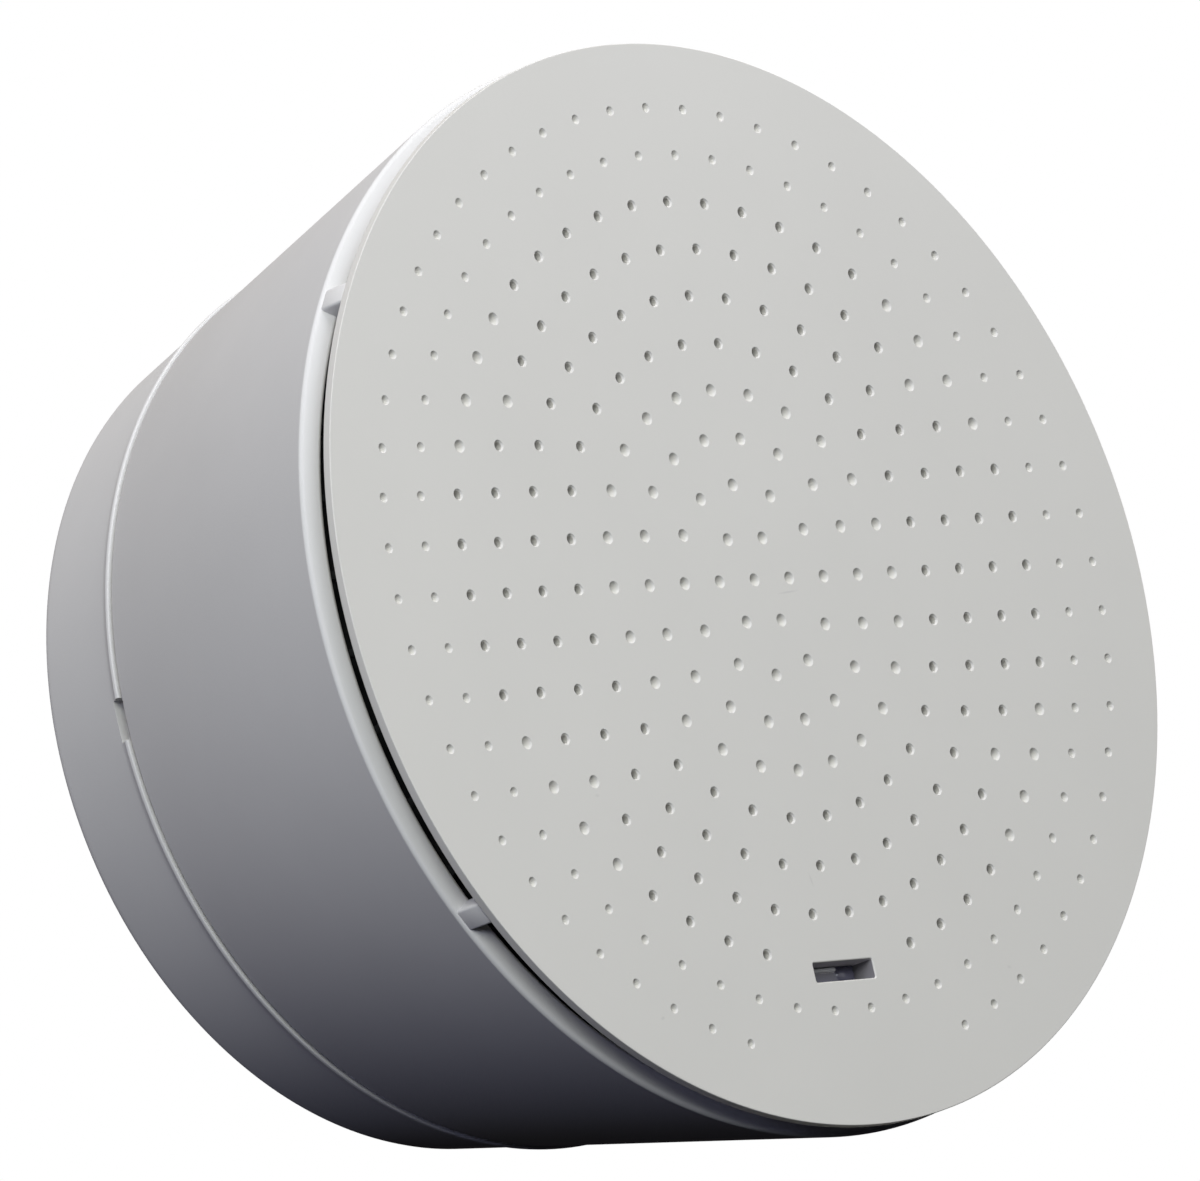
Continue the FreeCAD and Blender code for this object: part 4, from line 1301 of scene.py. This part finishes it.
# Capacitors
# Two aluminium cans in dark blue heat-shrunk sleeves, beaded above the base, with a
# scored top that can vent. They store the charge for the sounder.
sleeve_colour = (0.012, 0.018, 0.075)
stripe_colour = (0.34, 0.36, 0.42)
can_metal_colour = (0.70, 0.71, 0.72)
can_bead_out = 0.0020
can_bead = 0.0004
sleeve_lap = 0.0008
can_foot_round = 0.0005
bead_edge_round = 0.0002
bead_floor_round = 0.0003
can_top_drop = 0.0002
score_half_length = 0.0028
score_half_width = 0.00012
score_bottom = 0.00035
can_top_band = 0.0006
stripe_share = 0.35
sleeve_margin = 0.00001


def sleeved(name, base, stripe, stripe_middle, stripe_half, roughness=0.28):
    """Shrunk sleeve with one pale stripe along it, on one side."""
    made = bpy.data.materials.new(name)
    made.use_nodes = True
    nodes, links = made.node_tree.nodes, made.node_tree.links
    skin = nodes["Principled BSDF"]
    where = nodes.new("ShaderNodeTexCoord").outputs["Object"]
    split = nodes.new("ShaderNodeSeparateXYZ")
    links.new(where, split.inputs[0])
    offset = nodes.new("ShaderNodeMath")
    offset.operation = "SUBTRACT"
    links.new(split.outputs["Z"], offset.inputs[0])
    offset.inputs[1].default_value = stripe_middle
    apart = nodes.new("ShaderNodeMath")
    apart.operation = "ABSOLUTE"
    links.new(offset.outputs[0], apart.inputs[0])
    band = spread(nodes, links, apart.outputs[0], 1, 0, stripe_half, stripe_half + 0.0001)
    links.new(mixed_colour(nodes, links, band, base, stripe), skin.inputs["Base Color"])
    cloud = noise_value(nodes, links, 260, 3)
    links.new(spread(nodes, links, cloud, roughness + 0.05, roughness - 0.05), skin.inputs["Roughness"])
    links.new(raised(nodes, links, cloud, 0.12, 0.0001), skin.inputs["Normal"])
    return made


def second_material(piece, material, chosen):
    """Gives the chosen faces of a piece another material."""
    piece.data.materials.append(material)
    for facet in piece.data.polygons:
        if chosen(facet):
            facet.material_index = 1


can_metal = plated_metal("can_metal", can_metal_colour, 0.34, 500)
for node in ("capacitor_large", "capacitor_small"):
    low, high = upright_box(node)
    middle = (low + high) / 2
    radius = (high.x - low.x) / 2
    top = high.z
    outline = softened([
        (0, low.z), (radius - can_bead, low.z), (radius, low.z + can_foot_round),
        (radius, low.z + can_bead_out - can_foot_round), (radius - can_bead, low.z + can_bead_out),
        (radius, low.z + can_bead_out + can_foot_round), (radius, top), (radius - sleeve_lap, top),
        (radius - sleeve_lap, top - can_top_drop), (0, top - can_top_drop)],
        {3: bead_edge_round, 4: bead_floor_round, 5: bead_edge_round, 6: can_foot_round})
    piece = joined(node + "_can", [moved(turned(outline, 64), (middle.x, middle.y, 0))])
    for wide, tall in ((score_half_length, score_half_width), (score_half_width, score_half_length)):
        cut_out(piece, [boxed((middle.x - wide, middle.y - tall, top - score_bottom),
                              (middle.x + wide, middle.y + tall, top + cut_margin))])
    sleeve = sleeved(node + "_sleeve", sleeve_colour, stripe_colour, middle.y + radius,
                     radius * stripe_share)
    dressed(piece, sleeve, replaces=node)

    def on_top(facet):
        from_axis = math.hypot(facet.center.x - middle.x, facet.center.z - middle.y)
        return -facet.center.y > top - can_top_band and from_axis < radius - sleeve_lap - sleeve_margin

    second_material(piece, can_metal, on_top)

# Transformer
# A small ferrite-cored transformer with its winding under yellow tape; it raises the
# voltage for the sounding disc.
core_wall = 0.0022
core_round = 0.0002
winding_gap = 0.0002
winding_inset = 0.0006
winding_round = 0.0010
ferrite_colour = (0.045, 0.043, 0.045)
tape_colour = (0.62, 0.42, 0.035)
low, high = upright_box("drive_transformer")
inner_low = (low.x + core_wall, low.y, low.z + core_wall)
inner_high = (high.x - core_wall, high.y, high.z - core_wall)
ferrite = moulded_plastic("ferrite", ferrite_colour, 0.50, 0.20, 0.8, 0.4)
tape = moulded_plastic("winding_tape", tape_colour, 0.30, 0.10, 0.15, 0.5)
core = [boxed(low, (inner_low[0], high.y, high.z), core_round),
        boxed((inner_high[0], low.y, low.z), high, core_round),
        boxed((inner_low[0], low.y, inner_high[2]), (inner_high[0], high.y, high.z), core_round),
        boxed((inner_low[0], low.y, low.z), (inner_high[0], high.y, inner_low[2]), core_round)]
dressed(joined("transformer_core", core), ferrite, replaces="drive_transformer")
winding = boxed((inner_low[0] + winding_gap, low.y + winding_inset, inner_low[2] + winding_gap),
                (inner_high[0] - winding_gap, high.y - winding_inset, inner_high[2] - winding_gap),
                winding_round, 5)
dressed(joined("transformer_winding", [winding]), tape)

# Sounder
# A black cup screwed under the deck over a foam gasket. It clamps a brass disc with a
# silvered ceramic layer, and its domed cap lets the sound out through a ring of holes.
# Two sleeved wires join it to a white plug on the board.
cup_colour = (0.020, 0.020, 0.022)
foam_colour = (0.028, 0.028, 0.030)
brass_colour = (0.78, 0.57, 0.25)
silvered_colour = (0.66, 0.64, 0.60)
nylon_colour = (0.74, 0.72, 0.64)
red_wire_colour = (0.46, 0.020, 0.015)
black_wire_colour = (0.016, 0.016, 0.017)
black_moulding = moulded_plastic("black_moulding", cup_colour, 0.46, 0.12, 0.5, 0.4)
finished(("sounder_body", "sounder_cap"), black_moulding)
finished(("sounder_gasket",), moulded_plastic("gasket_foam", foam_colour, 0.90, 0.30, 1.0, 0.2))
finished(("brass_disc",), plated_metal("rolled_brass", brass_colour, 0.30, 420, (1, 1, 0.06), 0.25))
finished(("ceramic_disc",), plated_metal("silvered_ceramic", silvered_colour, 0.55, 600))
finished(("sounder_connector",), moulded_plastic("natural_nylon", nylon_colour, 0.44, 0.04, 0.2, 0.4))
finished(("sounder_wire_red",), moulded_plastic("red_sleeve", red_wire_colour, 0.42, 0.06, 0.15, 0.4))
black_sleeve = moulded_plastic("black_sleeve", black_wire_colour, 0.42, 0.10, 0.15, 0.4)
finished(("sounder_wire_black",), black_sleeve)

# Lamp
# The status lamp: a small white moulded case with a cloudy yellow lens, soldered to the
# board under the light guide.
lamp_round = 0.00015
lens_radius = 0.0012
lens_well = 0.0004
lens_bottom = 0.0005
lens_edge = 0.0001
lens_top = 0.00002
lamp_colour = (0.80, 0.78, 0.70)
lens_colour = (0.72, 0.62, 0.16)
low, high = upright_box("status_led")
lamp_case = joined("lamp_case", [boxed(low, high, lamp_round)])
well = turned([(0, high.z - lens_well), (lens_radius, high.z - lens_well),
               (lens_radius, high.z + cut_margin), (0, high.z + cut_margin)], 32)
cut_out(lamp_case, [moved(well, (0, -window_radius, 0))])
dressed(lamp_case, moulded_plastic("lamp_white", lamp_colour, 0.35, 0.03, 0.15, 0.45),
        replaces="status_led")
lens_outline = softened([(0, high.z - lens_bottom), (lens_radius, high.z - lens_bottom),
                         (lens_radius, high.z - lens_edge), (0, high.z - lens_top)], {2: lens_edge})
dressed(joined("lamp_lens", [moved(turned(lens_outline, 32), (0, -window_radius, 0))]),
        moulded_plastic("lens_gel", lens_colour, 0.22, 0.08, 0.10, 0.5))

# Cells and tray
# Three lithium cells in plain teal sleeves lie head to tail in a black tray fixed to the
# back of the board, and nickel-plated springs at its ends join them in a row.
cell_radius = 0.0085
cell_length = 0.0345
cell_nub_radius = 0.0032
cell_nub_height = 0.0012
cell_end_ring = 0.0014
cell_end_inset = 0.0002
cell_end_round = 0.0006
cell_groove_out = 0.0018
cell_groove_half = 0.0004
cell_groove_depth = 0.00035
cell_groove_round = 0.0003
cell_cap_ring = 0.0022
cell_cap_drop = 0.0003
cell_cap_round = 0.0007
cell_band_place = 0.0105
cell_band_half = 0.0022
cell_bare_margin = 0.0001
cell_flat_band = 0.0004
cell_cap_band = 0.0017
cell_metal_colour = (0.72, 0.71, 0.69)
tray_colour = (0.024, 0.024, 0.026)
nickel_colour = (0.73, 0.70, 0.64)
cell_colour = (0.020, 0.155, 0.215)
cell_band_colour = (0.60, 0.60, 0.56)


def cell_mesh():
    """One cell, standing on its flat end at the origin."""
    shoulder_out = cell_length - cell_nub_height
    groove_out = shoulder_out - cell_groove_out
    flat_ring, cap_ring = cell_radius - cell_end_ring, cell_radius - cell_cap_ring
    outline = softened([
        (0, cell_end_inset), (flat_ring, cell_end_inset), (flat_ring, 0), (cell_radius, 0),
        (cell_radius, groove_out - cell_groove_half), (cell_radius - cell_groove_depth, groove_out),
        (cell_radius, groove_out + cell_groove_half), (cell_radius, shoulder_out),
        (cap_ring, shoulder_out), (cap_ring, shoulder_out - cell_cap_drop),
        (cell_nub_radius, shoulder_out - cell_cap_drop), (cell_nub_radius, cell_length),
        (0, cell_length)],
        {3: cell_end_round, 4: cell_groove_round, 5: cell_groove_round, 6: cell_groove_round,
         7: cell_cap_round, 11: cell_groove_round})
    return turned(outline, 96)


cell_metal = plated_metal("cell_metal", cell_metal_colour, 0.26, 600)
for number in (1, 2, 3):
    node = f"battery_cell_{number}"
    low, high = upright_box(node)
    middle = (low + high) / 2
    up = 1 if number % 2 else -1
    mesh = cell_mesh()
    mesh.transform(Matrix.Rotation(-up * math.pi / 2, 4, "X"))
    mesh.transform(Matrix.Translation((middle.x, middle.y - up * cell_length / 2, middle.z)))
    piece = joined(node + "_sleeved", [mesh])
    wrap = sleeved(f"cell_sleeve_{number}", cell_colour, cell_band_colour,
                   middle.y + up * cell_band_place, cell_band_half)
    dressed(piece, wrap, replaces=node)
    flat_end, capped_end = middle.y - up * cell_length / 2, middle.y + up * cell_length / 2

    def bare(facet):
        from_axis = math.hypot(facet.center.x - middle.x, -facet.center.y - middle.z)
        flat_reach = cell_radius - cell_end_ring + cell_bare_margin
        cap_reach = cell_radius - cell_cap_ring + cell_bare_margin
        at_flat = abs(facet.center.z - flat_end) < cell_flat_band and from_axis < flat_reach
        at_cap = abs(facet.center.z - capped_end) < cell_cap_band and from_axis < cap_reach
        return at_flat or at_cap

    second_material(piece, cell_metal, bare)
tray_plastic = moulded_plastic("tray_plastic", tray_colour, 0.50, 0.12, 0.5, 0.4)
finished(("battery_tray",), tray_plastic)
spring_nickel = plated_metal("spring_nickel", nickel_colour, 0.24, 800, (0.08, 1, 1))
finished(("contact_positive", "contact_link_upper", "contact_link_lower", "contact_negative"),
         spring_nickel)

# Switches
# Two small push switches on the back of the board: a long white stem that a post on the
# wall base holds in while the siren is on its base, and a short red button used when the
# siren is set up. Each stem slides in its case.
stem_back_round = 0.0004
stem_front_round = 0.0001
button_colour = (0.48, 0.024, 0.018)
finished(("tamper_switch", "learn_switch"), tray_plastic)
for node, body, material_name, colour, slot in (
        ("tamper_plunger", "tamper_stem", "stem_nylon", nylon_colour, "white_nylon"),
        ("learn_button", "learn_stem", "button_red", button_colour, "red_plastic")):
    low, high = upright_box(node)
    middle = (low + high) / 2
    radius = (high.x - low.x) / 2
    stem = turned(softened([(0, low.z), (radius, low.z), (radius, high.z), (0, high.z)],
                           {1: stem_back_round, 2: stem_front_round}), 48)
    dressed(joined(node + "_stem", [moved(stem, (middle.x, middle.y, 0))]),
            moulded_plastic(material_name, colour, 0.36, 0.05, 0.15, 0.45), body, replaces=node)

# Room
# A pale floor well below the wall-mounted siren, soft lamps in front, beside, above and
# behind, and a plain white surround. The camera looks from the front left and from a
# little below.
floor_drop = -0.42
floor_half = 3.0
floor_colour = (0.80, 0.80, 0.79)
floor_bounce_colour = (0.008, 0.008, 0.010)
plain_white = (1.0, 1.0, 1.0)
no_light = (0.0, 0.0, 0.0)
sky_colour = (0.680, 0.640, 0.580)
camera_place = (-0.92307, -0.94204, -0.21598)
camera_turn = (99.9322, 12.6711, -43.3266)
camera_lens = 400.77
lamps = (
    ("front_lamp", -20, 12, 1.5, 0.70, 5.1, (0.84, 0.92, 1.0)),
    ("left_lamp", -45, 20, 1.5, 0.70, 10.6, (0.97, 1.0, 0.92)),
    ("side_lamp", -75, 10, 1.5, 0.30, 3.6, (0.60, 0.64, 1.0)),
    ("near_lamp", 0, 48, 0.42, 0.25, 0.72, (0.92, 0.92, 1.0)),
    ("rear_lamp", 120, 20, 1.5, 0.40, 8.0, (1.0, 1.0, 1.0)),
)

floor_work = bmesh.new()
floor_corners = [floor_work.verts.new((x * floor_half, y * floor_half, floor_drop))
                 for x, y in ((-1, -1), (1, -1), (1, 1), (-1, 1))]
floor_work.faces.new(floor_corners)
floor_mesh = bpy.data.meshes.new("floor")
floor_work.to_mesh(floor_mesh)
floor_work.free()
floor_material = bpy.data.materials.new("floor_paint")
floor_material.use_nodes = True
paint_nodes, paint_links = floor_material.node_tree.nodes, floor_material.node_tree.links
paint = paint_nodes["Principled BSDF"]
paint.inputs["Roughness"].default_value = 0.75
paint.inputs["Specular IOR Level"].default_value = 0.0


def seen_directly(nodes, links):
    """Share that is 1 for what the camera sees, also in a reflection or through glass."""
    path = nodes.new("ShaderNodeLightPath")
    seen = path.outputs["Is Camera Ray"]
    for label in ("Is Glossy Ray", "Is Transmission Ray"):
        most = nodes.new("ShaderNodeMath")
        most.operation = "MAXIMUM"
        links.new(seen, most.inputs[0])
        links.new(path.outputs[label], most.inputs[1])
        seen = most.outputs[0]
    return seen


paint_links.new(mixed_colour(paint_nodes, paint_links, seen_directly(paint_nodes, paint_links),
                             floor_bounce_colour, floor_colour), paint.inputs["Base Color"])
floor_mesh.materials.append(floor_material)
floor = bpy.data.objects.new("floor", floor_mesh)
bpy.context.scene.collection.objects.link(floor)

surround = bpy.data.worlds.new("surround")
surround.use_nodes = True
sky_nodes, sky_links = surround.node_tree.nodes, surround.node_tree.links
sky = sky_nodes["Background"]
direction = sky_nodes.new("ShaderNodeTexCoord").outputs["Generated"]
height_of = sky_nodes.new("ShaderNodeSeparateXYZ")
sky_links.new(direction, height_of.inputs[0])
height_share = spread(sky_nodes, sky_links, height_of.outputs["Z"], 0, 1, 0, 1)
ambient = mixed_colour(sky_nodes, sky_links, height_share, no_light, sky_colour)
is_seen = seen_directly(sky_nodes, sky_links)
sky_links.new(mixed_colour(sky_nodes, sky_links, is_seen, ambient, plain_white), sky.inputs["Color"])
bpy.context.scene.world = surround

for label, azimuth, elevation, distance, size, power, colour in lamps:
    turn, climb = math.radians(azimuth), math.radians(elevation)
    place = distance * Vector((math.sin(turn) * math.cos(climb), -math.cos(turn) * math.cos(climb),
                               math.sin(climb)))
    data = bpy.data.lights.new(label, "AREA")
    data.size = size
    data.energy = power
    data.color = colour
    lamp = bpy.data.objects.new(label, data)
    lamp.location = place
    lamp.rotation_euler = (-place).to_track_quat("-Z", "Y").to_euler()
    bpy.context.scene.collection.objects.link(lamp)

camera_data = bpy.data.cameras.new("camera")
camera_data.sensor_width = 36
camera_data.lens = camera_lens
camera_data.clip_start = 0.05
camera = bpy.data.objects.new("camera", camera_data)
camera.location = camera_place
camera.rotation_euler = Euler([math.radians(angle) for angle in camera_turn])
bpy.context.scene.collection.objects.link(camera)
bpy.context.scene.camera = camera
bpy.context.scene.view_settings.view_transform = "Standard"
